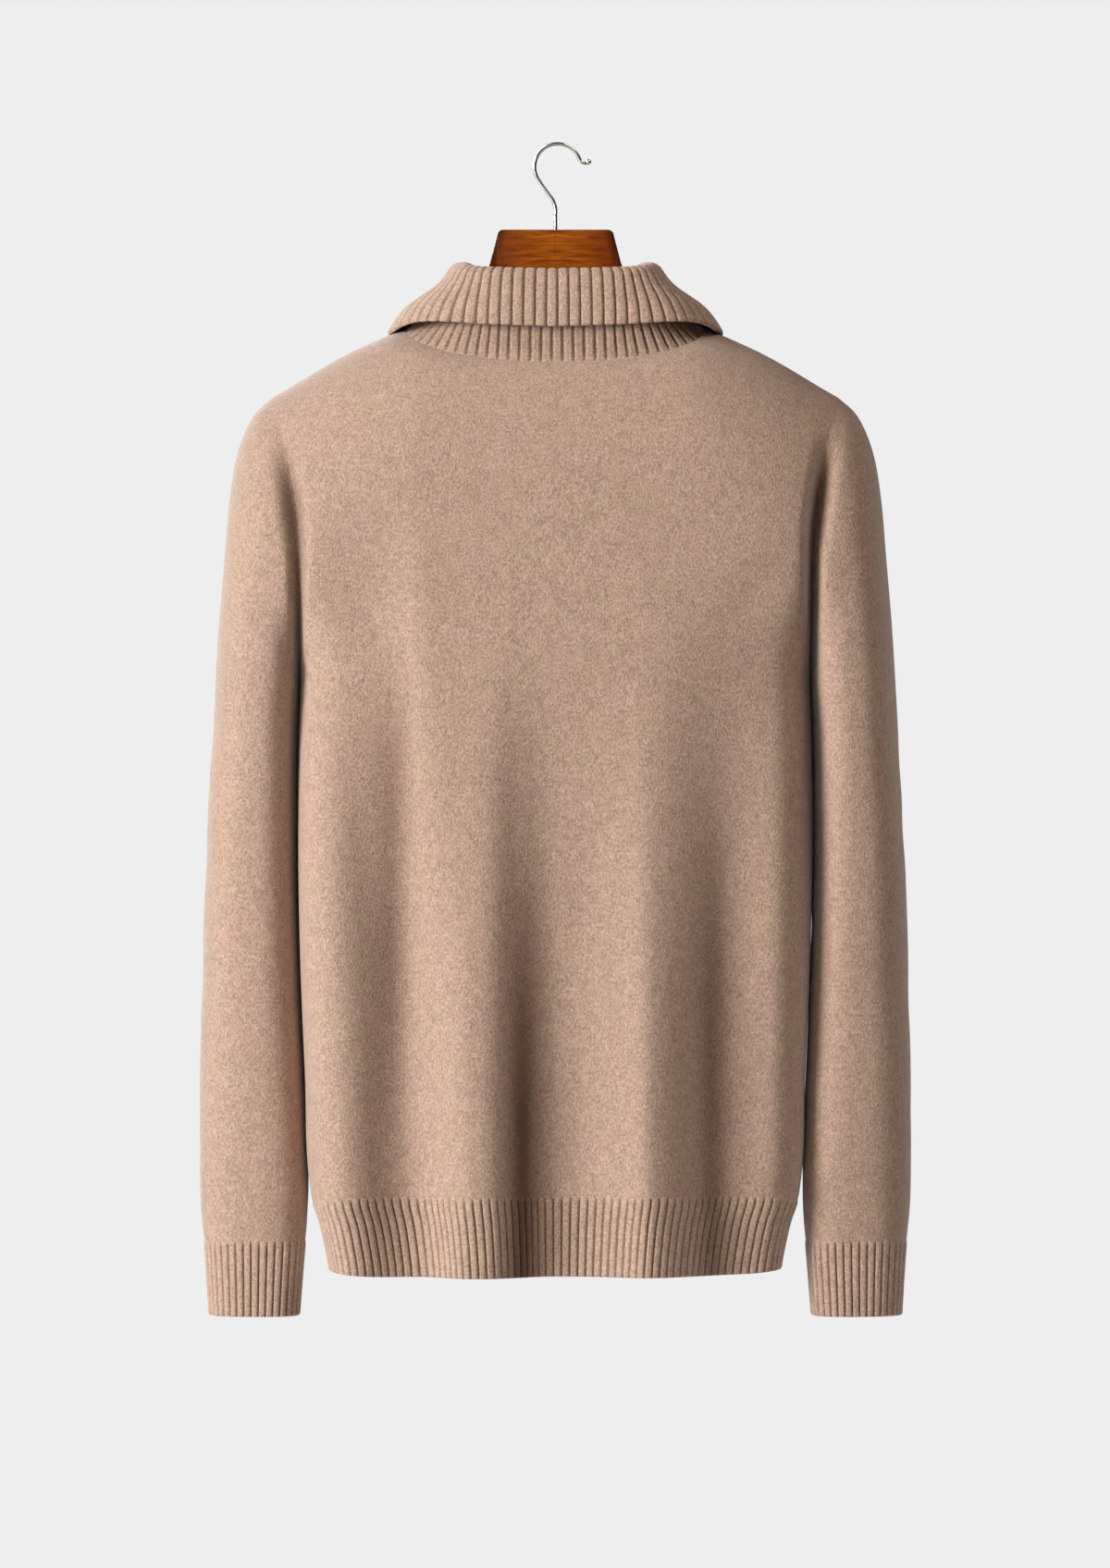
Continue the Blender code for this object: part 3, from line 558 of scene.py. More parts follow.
woolFinish = {
    # how strong the painted furrow shade is in each finish
    "knit": {"Light": (0.590, 0.408, 0.323, 1), "Dark": (0.305, 0.203, 0.152, 1), "FurrowShade": 0.80},
    "rib": {"Light": (0.635, 0.447, 0.354, 1), "Dark": (0.336, 0.227, 0.170, 1), "FurrowShade": 0.85},
    "bump": 0.6,
    "bumpDepth": 0.0006,
    "sheen": 0.50,
}


def woolMaterial(name, look):
    material, tree, shader = newMaterial(name)
    wool = addNode(tree, "Group", {}, node_tree=heather)
    feed(wool, look)
    bump = addNode(tree, "Bump", {"Strength": woolFinish["bump"],
                                  "Distance": woolFinish["bumpDepth"],
                                  "Height": wool.outputs["Nap"]})
    feed(shader, {
        "Base Color": wool.outputs["Color"],
        "Normal": bump.outputs["Normal"],
        "Roughness": 0.95,
        "Specular IOR Level": 0.12,
        "Sheen Weight": woolFinish["sheen"],
        "Sheen Roughness": 0.45,
        "Sheen Tint": (0.98, 0.99, 1.0, 1),
    })
    return material


knit = woolMaterial("brushed wool knit", woolFinish["knit"])
ribbed = woolMaterial("ribbed wool knit", woolFinish["rib"])
print("wool finishes made")


# The back, the two fronts and their ribbed hems.

panel = {
    "neckColumns": 52,
    "shoulderColumns": 40,
    "upperRows": 60,
    "lowerRows": 96,
    "hemRows": 20,
    "ribColumns": 8,  # columns of points in one rib
    "backRibs": 78,
    "frontRibs": 36,
    "dipWidth": 0.0055,
    "roundness": 0.49,  # depth of the body's section over its half width
}
rightEdge = {  # the right sleeve's shade along the edge of the back
    "x": -0.1835,
    "width": 0.0095,
    "share": 0.7,
    "topZ": -0.25,
    "topRun": 0.05,
    "endZ": -0.62,
    "endRun": 0.16,
}


def neckAngles(face, start, count):  # even steps along the neck seam, from the centre out
    angles = np.linspace(np.arcsin(start / cut["neckHalf"]), pi / 2, 600)
    x = cut["neckHalf"] * np.sin(angles)
    z = neckZ(face, x)
    share = evenAlong(np.stack((x, bodyY(face, -x, z), z), -1), count)
    return angles[0] + (angles[-1] - angles[0]) * share


def acrossShares(start, count):  # even steps along the body's section, from the centre out
    angles = np.linspace(0, pi / 2, 900)
    power = 2 / cut["squareness"]
    across = np.sin(angles) ** power
    depth = np.clip(np.cos(angles), 0, 1) ** power * panel["roundness"]
    length = np.concatenate(([0], np.cumsum(np.hypot(np.diff(across), np.diff(depth)))))
    first = np.interp(start, across, length)
    return np.interp(np.linspace(first, length[-1], count), length, across)


def halfPanel(face, side, start):
    neck = cut["neckHalf"] * np.sin(neckAngles(face, start, panel["neckColumns"] + 1))
    shoulder = np.linspace(cut["neckHalf"], cut["tipHalf"], panel["shoulderColumns"] + 1)[1:]
    topX = np.concatenate((neck, shoulder))
    isNeck = np.arange(len(topX)) < len(neck) - 1
    topZ = np.where(isNeck, neckZ(face, topX), shoulderZ(topX))
    low = acrossShares(start / cut["armholeHalf"], len(topX))
    share = rowShares(panel["upperRows"])[:, None]
    edge = armholeX(tipZ + (cut["underarmZ"] - tipZ) * share)
    upperX = edge * (topX / cut["tipHalf"] * (1 - share) + low * share)
    upperX[:, 0] = start
    upperZ = topZ + (cut["underarmZ"] - topZ) * share
    level = np.linspace(cut["underarmZ"], cut["hemTopZ"], panel["lowerRows"] + 1)[1:, None]
    lowerZ = level + sideShift(level) * low ** cut["sidePower"]
    lowerX = readRows(bodyRows, 1, lowerZ) * low
    lowerX[:, 0] = start
    x = side * np.concatenate((upperX, lowerX))
    z = np.concatenate((upperZ, lowerZ))
    return np.stack((x, bodyY(face, x, z), z), -1)


def faceOut(normal, probe, direction):  # turn the normals if they look inwards
    return -normal if normal[probe] @ np.array(direction) < 0 else normal


def panelNormals(grid, face):
    normal = gridNormals(grid)
    middle = (panel["upperRows"], grid.shape[1] // 2)
    normal = faceOut(normal, middle, (0, face, 0))
    top = grid[0, :, 0]
    onShoulder = np.abs(top) > cut["neckHalf"] - 1e-6
    step = 1e-4
    slope = (shoulderZ(np.abs(top) + step) - shoulderZ(np.abs(top) - step)) / (2 * step)
    shared = unit(np.stack((-slope * np.sign(top), np.zeros(len(top)), np.ones(len(top))), -1))
    normal[0, onShoulder] = shared[onShoulder]
    for column in (0, -1):
        if abs(grid[-1, column, 0]) > 2 * cut["bandHalf"]:
            normal[panel["upperRows"]:, column] = (np.sign(grid[-1, column, 0]), 0, 0)
    return normal


def hemPanel(face, sides, count):  # ribs spaced evenly along the hem's middle
    height = cut["hemTopZ"] - cut["hemBottomZ"]
    first = cut["bandHalf"] / cut["armholeHalf"] if len(sides) == 1 else -1.0
    angles = np.linspace(-pi / 2, pi / 2, 2400)
    power = 2 / cut["squareness"]
    across = np.sign(angles) * np.abs(np.sin(angles)) ** power
    across = across[across >= first]
    levelZ = np.full(len(across), cut["hemTopZ"] - height * 0.5)
    x = readRows(bodyRows, 1, levelZ) * across
    share = evenAlong(np.stack((x, bodyY(face, x, levelZ), levelZ), -1), count)
    across = np.interp(share, np.linspace(0, 1, len(across)), across)
    level = cut["hemTopZ"] - toEdge(height, panel["hemRows"])[:, None]
    z = level + sideShift(level) * np.abs(across) ** cut["sidePower"]
    x = readRows(bodyRows, 1, z) * across
    if len(sides) == 1:
        x[:, 0] = cut["bandHalf"]
        x = x * sides[0]
    return np.stack((x, bodyY(face, x, z), z), -1)


grids, normals = {}, {}
half, otherHalf = halfPanel(1, 1, 0.0), halfPanel(1, -1, 0.0)
grids["back"] = np.concatenate((otherHalf[:, :0:-1], half), axis=1)
grids["front_left"] = halfPanel(-1, 1, cut["bandHalf"])
grids["front_right"] = halfPanel(-1, -1, cut["bandHalf"])
for name, grid in grids.items():
    normals[name] = panelNormals(grid, 1 if name == "back" else -1)

cloth = {}
seams = {"top": "seam", "bottom": "seam", "first": "seam", "last": "seam"}
for name, grid in grids.items():
    dip = np.zeros(grid.shape[:2])
    across = lengths(grid, 1)
    upper = slice(0, panel["upperRows"] + 1)
    for column in ((0, -1) if name == "back" else (-1,)):
        away = np.abs(across - across[:, column][:, None])
        near = bell(away, panel["dipWidth"])
        dip[upper] += (armholeDip(grid[:, column])[:, None] * near)[upper]
    dipped = grid.copy()
    dipped[..., 1] -= dip * np.sign(grid[..., 1])
    # painted shade along the armhole creases, beside the right edge and down the long folds
    paintedShade = cut["dipShade"] * dip / cut["armholeDip"]
    if name == "back":
        x, z = grid[..., 0], grid[..., 2]
        beside = bell(x - rightEdge["x"], rightEdge["width"])
        beside = beside * softStep((rightEdge["topZ"] - z) / rightEdge["topRun"])
        along = softStep((z - rightEdge["endZ"]) / rightEdge["endRun"])
        paintedShade = np.maximum(paintedShade, rightEdge["share"] * beside * along) + foldShade(x, z)
    cloth[name] = makeCloth(name + "_knit", dipped, normals[name], seams, knit, paintedShade=paintedShade)

for name, face, sides, count in (("hem_back", 1, (-1, 1), panel["backRibs"]),
                                 ("hem_front_left", -1, (1,), panel["frontRibs"]),
                                 ("hem_front_right", -1, (-1,), panel["frontRibs"])):
    columns = count * panel["ribColumns"] + 1
    base = hemPanel(face, sides, columns)
    normal = faceOut(gridNormals(base), (3, columns // 2), (0, face, 0))
    for column in (0, -1):
        if abs(base[0, column, 0]) > 2 * cut["bandHalf"]:
            normal[:, column] = (np.sign(base[0, column, 0]), 0, 0)
    phase = np.linspace(0, count, columns)
    outer, furrowShade = ribWave(phase)
    # painted shade of the long folds, on into the hem
    paintedShade = foldShade(base[..., 0], base[..., 2]) if face > 0 else 0.0
    cloth[name] = makeCloth(name + "_rib", base, normal, seams | {"bottom": "free"}, ribbed,
                            outer, ribWave(phase + 0.5)[0], furrowShade, paintedShade)
print("body made")


# The sleeves and their cuffs.

# ring, outer x, outer z, inner x, inner z, half depth, outer y, inner y
sleeveRows = np.array([
    (0, 0.2020, -0.1799, 0.1812, -0.3812, 0.0580, 0.000, 0.000),
    (1, 0.2158, -0.1937, 0.1814, -0.3831, 0.0625, -0.001, 0.000),
    (2, 0.2264, -0.2188, 0.1815, -0.3851, 0.0660, -0.002, 0.000),
    (3, 0.2323, -0.2525, 0.1816, -0.3878, 0.0685, -0.004, 0.000),
    (4, 0.2363, -0.2987, 0.1818, -0.3917, 0.0700, -0.006, 0.000),
    (5, 0.2402, -0.3449, 0.1820, -0.3977, 0.0700, -0.008, -0.001),
    (6, 0.2435, -0.3977, 0.1826, -0.4142, 0.0685, -0.010, -0.002),
    (7, 0.2468, -0.4505, 0.1832, -0.4538, 0.0650, -0.012, -0.003),
    (8, 0.2495, -0.5033, 0.1833, -0.5033, 0.0605, -0.013, -0.004),
    (9, 0.2515, -0.5561, 0.1825, -0.5561, 0.0555, -0.014, -0.004),
    (10, 0.2531, -0.6155, 0.1808, -0.6155, 0.0500, -0.014, -0.005),
    (11, 0.2541, -0.6749, 0.1783, -0.6749, 0.0450, -0.014, -0.005),
    (12, 0.2541, -0.7310, 0.1764, -0.7310, 0.0405, -0.014, -0.005),
    (13, 0.2534, -0.7574, 0.1768, -0.7574, 0.0375, -0.014, -0.005),
    (14, 0.2511, -0.7805, 0.1785, -0.7805, 0.0340, -0.013, -0.005),
    (15, 0.2490, -0.8085, 0.1808, -0.8085, 0.0315, -0.012, -0.005),
    (16, 0.2475, -0.8345, 0.1828, -0.8345, 0.0300, -0.012, -0.005),
])

sleeve = {
    "squareness": 2.6,
    "capRings": 5.0,  # the rings that the armhole still shapes
    "lastRing": 14,
    "lastCuffRing": 16,
    "rings": 132,
    "evenRings": 0.45,  # share of even spacing, the rest crowds at the armhole
    "ringCrowding": 1.25,
    "cuffLength": 0.054,
    "cuffRows": 18,
    "cuffRibs": 40,
    "dipWidth": 0.0085,
    # shade in the narrow gap beside the body: share, width in degrees, z of its end
    "gapShades": {1: (0.92, 42.0, -0.42), -1: (0.60, 18.0, -0.66)},
    "gapTopZ": -0.200,
    "gapRun": 0.06,
    "gapFade": 0.16,
    "creases": [  # height z, turn in degrees (0 outside, 90 behind), width in both, depth
        (-0.430, 60, 0.020, 60, 0.0016),
        (-0.500, 300, 0.018, 70, 0.0022),
        (-0.545, 250, 0.016, 60, 0.0018),
        (-0.600, 40, 0.020, 50, 0.0012),
        (-0.700, 290, 0.012, 60, 0.0014),
        (-0.752, 110, 0.010, 60, 0.0012),
    ],
    "creaseSlant": 0.012,
    "creaseSwing": 1.3,
    "creaseFade": (3, 1.5),  # rings over which they fade at the armhole and at the cuff
}


def sleeveRing(ring, side, turns):  # turns run from the outer point round by the back
    at = [readRows(sleeveRows, column, ring) for column in range(1, 8)]
    outer = np.stack((side * at[0], at[5], at[1]), -1)
    inner = np.stack((side * at[2], at[6], at[3]), -1)
    middle, halfWidth = ((outer + inner) / 2)[:, None], ((outer - inner) / 2)[:, None]
    power = 2 / sleeve["squareness"]
    reach = np.sign(np.cos(turns)) * np.abs(np.cos(turns)) ** power
    depth = np.sign(np.sin(turns)) * np.abs(np.sin(turns)) ** power
    points = middle + halfWidth * reach[None, :, None]
    points[..., 1] += depth * at[4][:, None]
    return points


def makeSleeve(side, name):
    column = -1 if side > 0 else 0
    upper = panel["upperRows"] + 1
    backEdge = grids["back"][:upper, column]
    frontEdge = grids["front_" + name][:upper, -1]
    loop = np.concatenate((backEdge, frontEdge[-2:0:-1]))
    angles = np.arccos(1 - 2 * rowShares(panel["upperRows"]))
    turns = np.concatenate((angles, 2 * pi - angles[-2:0:-1]))
    steps = np.linspace(0, 1, sleeve["rings"] + 1)
    even = sleeve["evenRings"]
    ring = sleeve["lastRing"] * (even * steps + (1 - even) * steps ** sleeve["ringCrowding"])
    base = sleeveRing(ring, side, turns)
    cap = np.maximum(1 - ring / sleeve["capRings"], 0) ** 2
    base = base + (loop - base[0]) * cap[:, None, None]
    normal = faceOut(gridNormals(base, closed=True), (sleeve["rings"], 0), (side, 0, 0))
    first, last = sleeve["creaseFade"]
    fade = softStep(ring / first)[:, None] * softStep((sleeve["lastRing"] - ring) / last)[:, None]
    height = np.zeros(base.shape[:2])
    for z, turn, tall, wide, depth in sleeve["creases"]:
        angle = (np.degrees(turns) - turn + 180) % 360 - 180
        swing = np.sin(np.radians(angle) * sleeve["creaseSwing"])
        slant = base[..., 2] - z + sleeve["creaseSlant"] * swing * side
        height -= depth * np.exp(-((slant / tall) ** 2) - ((angle / wide) ** 2))
    base = base + normal * (height * fade)[..., None]
    dip = armholeDip(loop)[None, :] * bell(lengths(base, 0), sleeve["dipWidth"])
    base[..., 1] -= dip * np.sign(loop[:, 1])
    # painted shade in the gap beside the body and along the armhole crease
    share, width, low = sleeve["gapShades"][side]
    inwards = share * bell(180 - np.degrees(turns), width)
    deep = softStep((sleeve["gapTopZ"] - base[..., 2]) / sleeve["gapRun"])
    deep = deep * softStep((base[..., 2] - low) / sleeve["gapFade"])
    paintedShade = np.maximum(cut["dipShade"] * dip / cut["armholeDip"], inwards * deep)
    cloth["sleeve_" + name] = makeCloth("sleeve_" + name + "_knit", base, normal,
                                        {"top": "seam", "bottom": "seam"}, knit,
                                        paintedShade=paintedShade, closed=True)

    count = sleeve["cuffRibs"] * panel["ribColumns"]
    fine = np.linspace(0, 2 * pi, 3601)
    middleRing = (sleeve["lastRing"] + sleeve["lastCuffRing"]) / 2
    trace = sleeveRing(np.array([middleRing]), side, fine)[0]
    turns = np.interp(evenAlong(trace, count + 1), np.linspace(0, 1, len(fine)), fine)[:-1]
    drop = toEdge(sleeve["cuffLength"], sleeve["cuffRows"])
    cuffRings = sleeve["lastCuffRing"] - sleeve["lastRing"]
    base = sleeveRing(sleeve["lastRing"] + cuffRings * drop / sleeve["cuffLength"], side, turns)
    normal = faceOut(gridNormals(base, closed=True), (3, 0), (side, 0, 0))
    phase = np.linspace(0, sleeve["cuffRibs"], count + 1)[:-1]
    outer, furrowShade = ribWave(phase)
    cloth["cuff_" + name] = makeCloth("cuff_" + name + "_rib", base, normal,
                                      {"top": "seam", "bottom": "free"}, ribbed,
                                      outer, ribWave(phase + 0.5)[0], furrowShade, closed=True)


makeSleeve(1, "left")
makeSleeve(-1, "right")
print("sleeves made")


# The collar, which stands up from the neck seam and folds over.

# turn round the neck from the centre back; x, y, z of the rim and of the fall's edge; its bulge
collarRows = np.array([
    (0, 0.0000, 0.0520, -0.0985, 0.0000, 0.0600, -0.1309, 0.0010),
    (25, 0.0430, 0.0512, -0.0978, 0.0480, 0.0590, -0.1294, 0.0010),
    (45, 0.0610, 0.0440, -0.0968, 0.0830, 0.0535, -0.1276, 0.0012),
    (60, 0.0650, 0.0320, -0.0962, 0.0990, 0.0430, -0.1284, 0.0012),
    (70, 0.0660, 0.0220, -0.0958, 0.1080, 0.0320, -0.1308, 0.0012),
    (80, 0.0660, 0.0110, -0.0956, 0.1135, 0.0170, -0.1334, 0.0010),
    (90, 0.0655, 0.0000, -0.0955, 0.1160, 0.0000, -0.1340, 0.0010),
    (135, 0.0520, -0.0640, -0.1260, 0.1010, -0.0790, -0.1700, 0.0020),
    (180, 0.0140, -0.0900, -0.1660, 0.0480, -0.1020, -0.2250, 0.0030),
])

collar = {
    "fold": 0.0045,
    "sideFold": 0.0090,  # the fold is rounder over the shoulders
    "sideFoldSpread": 38,
    "gap": 0.0030,
    "ribs": 88,
    "ribColumns": 8,
    "standRows": 15,
    "foldRows": 10,
    "fallRows": 22,
    "edgeRound": 0.05,  # share of the fall whose rows crowd at its edge
    "fallRidge": 0.0006,
    "fallGroove": 0.0013,
    "fallRib": (4.5, 0.6),
    "standRidge": 0.0004,
    "standGroove": 0.0012,
    "standRib": (2.6, 0.75),
    "standSplit": 0.22,  # depth of the fine line along the middle of a stand's rib
    "splitWidth": 0.11,
    "tuck": 0.0012,  # how far the stand goes down behind the neck seam
    "flare": 0.0024,  # the fall sinks in above and swings out below, over the shoulders
    "flareTurn": 85,
    "flareSpread": 35,
    "scallop": 0.0013,  # how far each rib of the fall reaches past its furrows
    "scallopStart": 0.8,  # share of the fall's length from which it does
    "scallopRun": 0.2,
}


def neckSeam():  # points along the neck from the front right round the back, with their turn
    parts = []
    for face, side in ((-1, -1), (1, -1), (1, 1), (-1, 1)):
        start = np.arcsin(cut["bandHalf"] / cut["neckHalf"]) if face < 0 else 0.0
        angle = np.linspace(start, pi / 2, 700)
        x = side * cut["neckHalf"] * np.sin(angle)
        z = neckZ(face, x)
        turn = np.degrees(angle) if face > 0 else 180 - np.degrees(angle)
        part = np.stack((x, bodyY(face, x, z), z, turn), -1)
        if face < 0:
            end = np.linspace(collar["gap"], cut["bandHalf"], 40)[:-1]
            tip = np.repeat(part[:1], len(end), axis=0)
            tip[:, 0] = side * end
            tip[:, 3] = 180 - (180 - part[0, 3]) * (end - end[0]) / (cut["bandHalf"] - end[0])
            part = np.concatenate((tip, part))
        goesOut = (face, side) in ((-1, -1), (1, 1))
        parts.append(part if goesOut else part[::-1])
    return np.concatenate([parts[0], parts[1][1:], parts[2][1:], parts[3][1:]])


def makeCollar():
    seam = neckSeam()
    count = collar["ribs"] * collar["ribColumns"] + 1
    share = evenAlong(seam[:, :3], count)
    places = np.linspace(0, 1, len(seam))
    seam = np.stack([np.interp(share, places, seam[:, k]) for k in range(4)], -1)
    side, turn = np.sign(seam[:, 0]), seam[:, 3]
    at = [readRows(collarRows, column, turn) for column in range(1, 8)]
    rim = np.stack((side * at[0], at[1], at[2]), -1)
    edge = np.stack((side * at[3], at[4], at[5]), -1)
    start = seam[:, :3]
    rise = unit(rim - start)
    start = start - rise * collar["tuck"]
    away = edge - rim
    away[:, 2] = 0
    away = unit(away)
    away = unit(away - rise * np.sum(away * rise, axis=1, keepdims=True))
    overSide = bell(turn - 90, collar["sideFoldSpread"])
    fold = (collar["fold"] + (collar["sideFold"] - collar["fold"]) * overSide)[:, None]
    nearFlare = bell(turn - collar["flareTurn"], collar["flareSpread"])
    flare = away * (collar["flare"] * nearFlare)[:, None]
    standTop, fallTop = rim - away * fold, rim + away * fold
    steps = np.linspace(0, 1, collar["standRows"] + 1)[:-1]
    rows = [start + (standTop - start) * t for t in steps]
    for turned in np.linspace(0, pi, collar["foldRows"] + 1):
        rows.append(rim + fold * (rise * sin(turned) - away * cos(turned)))
    bulge = away * at[6][:, None]
    phase = np.linspace(0, collar["ribs"], count)
    fallShape = ribShape(phase, *collar["fallRib"])
    hang = unit(edge - fallTop) * (collar["scallop"] * fallShape)[:, None]
    for t in toEdge(1.0, collar["fallRows"], collar["edgeRound"])[1:]:
        swing = bulge * sin(pi * t) - flare * sin(2 * pi * t)
        reach = hang * softStep((t - collar["scallopStart"]) / collar["scallopRun"])
        rows.append(fallTop + (edge - fallTop) * t + swing + reach)
    base = np.array(rows)
    normal = faceOut(gridNormals(base), (2, count // 2), (0, 1, 0))
    split = bell((phase + 0.5) % 1 - 0.5, collar["splitWidth"])
    standShape = ribShape(phase + 0.5, *collar["standRib"]) * (1 - collar["standSplit"] * split)
    outside = ribHeight(standShape, collar["standRidge"], collar["standGroove"])
    inside = ribHeight(fallShape, collar["fallRidge"], collar["fallGroove"])
    onFall = np.arange(len(rows))[:, None] >= collar["standRows"]
    # painted shade in the furrows of the ribs
    furrowShade = np.where(onFall, 1 - fallShape, 1 - standShape)
    edges = {"top": "seam", "bottom": "free", "first": "free", "last": "free"}
    cloth["collar"] = makeCloth("collar_rib", base, normal, edges, ribbed,
                                outside, inside, furrowShade)


makeCollar()
print("collar made")


# The front bands, the left one over the right one.

band = {
    "ribs": 5,
    "ribColumns": 8,
    "rows": 150,
    "ribShare": 0.7,  # height of its ribs over that of the others
}


def makeBand(side, name):
    columns = band["ribs"] * band["ribColumns"] + 1
    width = cut["bandHalf"] + cut["bandEnd"]
    reach = toEdge(width, columns - 5)
    x = side * (cut["bandHalf"] - reach)
    top, bottom = grids["front_left"][0, 0, 2], cut["hemBottomZ"]
    z = top - toEdge(top - bottom, band["rows"])[:, None]
    if side > 0:  # the left band keeps to the raised side of the overlap
        probe = np.maximum(x, -cut["bandHalf"] * 0.99)
    else:  # and the right one lies flat under it
        probe = np.full(len(x), -cut["bandHalf"] * 1.01)
    y = bodyY(-1, probe[None, :], z)
    base = np.stack((np.broadcast_to(x, y.shape), y, np.broadcast_to(z, y.shape)), -1)
    normal = faceOut(gridNormals(base), (5, columns // 2), (0, -1, 0))
    phase = reach / width * band["ribs"]
    outer, furrowShade = ribWave(phase)
    inner = ribWave(phase + 0.5)[0]
    edges = {"top": "seam", "bottom": "free", "first": "seam", "last": "free"}
    cloth["band_" + name] = makeCloth("band_" + name + "_rib", base, normal, edges, ribbed,
                                      outer * band["ribShare"], inner * band["ribShare"], furrowShade)


makeBand(1, "left")
makeBand(-1, "right")
print("bands made")


# The hanger, its hook and the buttons.

def clearSelection():
    if bpy.context.object and bpy.context.object.mode != "OBJECT":
        bpy.ops.object.mode_set(mode="OBJECT")
    bpy.ops.object.select_all(action="DESELECT")


def selectOnly(*pieces):  # the first one is active
    clearSelection()
    for piece in pieces:
        piece.select_set(True)
    bpy.context.view_layer.objects.active = pieces[0]


def addBevel(piece, width, segments, angle):
    bevel = piece.modifiers.new("rounding", "BEVEL")
    bevel.width = width
    bevel.segments = segments
    bevel.limit_method = "ANGLE"
    bevel.angle_limit = radians(angle)


def settle(piece, finish, angle):  # bake the placing into the mesh and finish the shading
    selectOnly(piece)
    bpy.ops.object.transform_apply(location=True, rotation=True, scale=True)
    for modifier in list(piece.modifiers):
        bpy.ops.object.modifier_apply(modifier=modifier.name)
    bpy.ops.object.shade_smooth_by_angle(angle=radians(angle))
    piece.data.materials.clear()
    piece.data.materials.append(finish)
    return piece


# x, top z, bottom z and half thickness of each section of a hanger's arm
hangerRows = [
    (-0.0040, -0.0604, -0.1120, 0.0095),
    (0.0180, -0.0604, -0.1126, 0.0095),
    (0.0394, -0.0604, -0.1138, 0.0095),
    (0.0412, -0.0625, -0.1143, 0.0095),
    (0.0436, -0.0720, -0.1158, 0.0096),
    (0.0468, -0.0842, -0.1178, 0.0098),
    (0.0512, -0.0950, -0.1222, 0.0101),
    (0.0580, -0.1065, -0.1272, 0.0103),
    (0.0680, -0.1155, -0.1350, 0.0105),
    (0.0800, -0.1240, -0.1428, 0.0107),
    (0.1000, -0.1368, -0.1562, 0.0116),
    (0.1250, -0.1458, -0.1700, 0.0126),
    (0.1550, -0.1590, -0.1838, 0.0138),
    (0.1820, -0.1750, -0.1962, 0.0140),
    (0.1895, -0.1812, -0.1972, 0.0108),
    (0.1930, -0.1856, -0.1955, 0.0058),
]

hanger = {
    "edge": 0.0019,  # rounding of the wood's edges
    "edgeAngle": 32,
    "smoothAngle": 28,
    "light": (0.520, 0.132, 0.004, 1),
    "dark": (0.150, 0.024, 0.002, 1),
    "grainTurn": -38,
    "grainStretch": (14, 60, 150),
    "grain": 3.2,
    "grainContrast": (0.3, 0.72),
    "armShadeRun": (0.006, 0.042),  # painted shade: the wood is darker out along the arms
    "armShade": (1.05, 0.12),
    "edgeShadeSlant": 0.31,  # and painted shade along the slanting side edges
    "edgeShadeRun": (0.0140, 0.0200),
    "edgeShade": (1.0, 0.35),
    "mitreWidth": 0.0006,
    "mitre": (0.72, 1.0),
    "roughness": 0.42,
    "gloss": 0.10,
}


def woodMaterial():
    material, tree, shader = newMaterial("varnished wood")
    place = addNode(tree, "TexCoord", {}).outputs["Object"]
    split = addNode(tree, "SeparateXYZ", {"Vector": place}).outputs
    mirror = addMath(tree, "ABSOLUTE", split["X"])  # the grain meets at the mitre
    joined = addNode(tree, "CombineXYZ", {"X": mirror, "Y": split["Y"], "Z": split["Z"]})
    turn = addNode(tree, "Mapping", {
        "Vector": joined.outputs["Vector"], "Rotation": (0, radians(hanger["grainTurn"]), 0),
        "Scale": hanger["grainStretch"]}).outputs["Vector"]
    grain = addNoise(tree, turn, hanger["grain"], 6.0, Distortion=0.6)
    tone = addRange(tree, grain, hanger["grainContrast"])
    # painted shade, darker out along the arms
    armShade = addRange(tree, mirror, hanger["armShadeRun"], hanger["armShade"])
    # painted shade along the slanting side edges
    side = addMath(tree, "MULTIPLY_ADD", split["Z"], hanger["edgeShadeSlant"], mirror)
    edgeShade = addRange(tree, side, hanger["edgeShadeRun"], hanger["edgeShade"])
    mitre = addRange(tree, mirror, (0.0, hanger["mitreWidth"]), hanger["mitre"])
    share = addMath(tree, "MULTIPLY", tone, armShade)
    wood = addMix(tree, share, hanger["dark"], hanger["light"])
    # the painted edge shade with the dark line of the mitre
    dimmed = addMath(tree, "MULTIPLY", edgeShade, mitre)
    feed(shader, {
        "Base Color": addMix(tree, 1.0, wood, dimmed, "MULTIPLY"),
        "Specular IOR Level": 0.2,
        "Roughness": hanger["roughness"],
        "Coat Weight": hanger["gloss"],
        "Coat Roughness": 0.12,
    })
    return material


wood = woodMaterial()


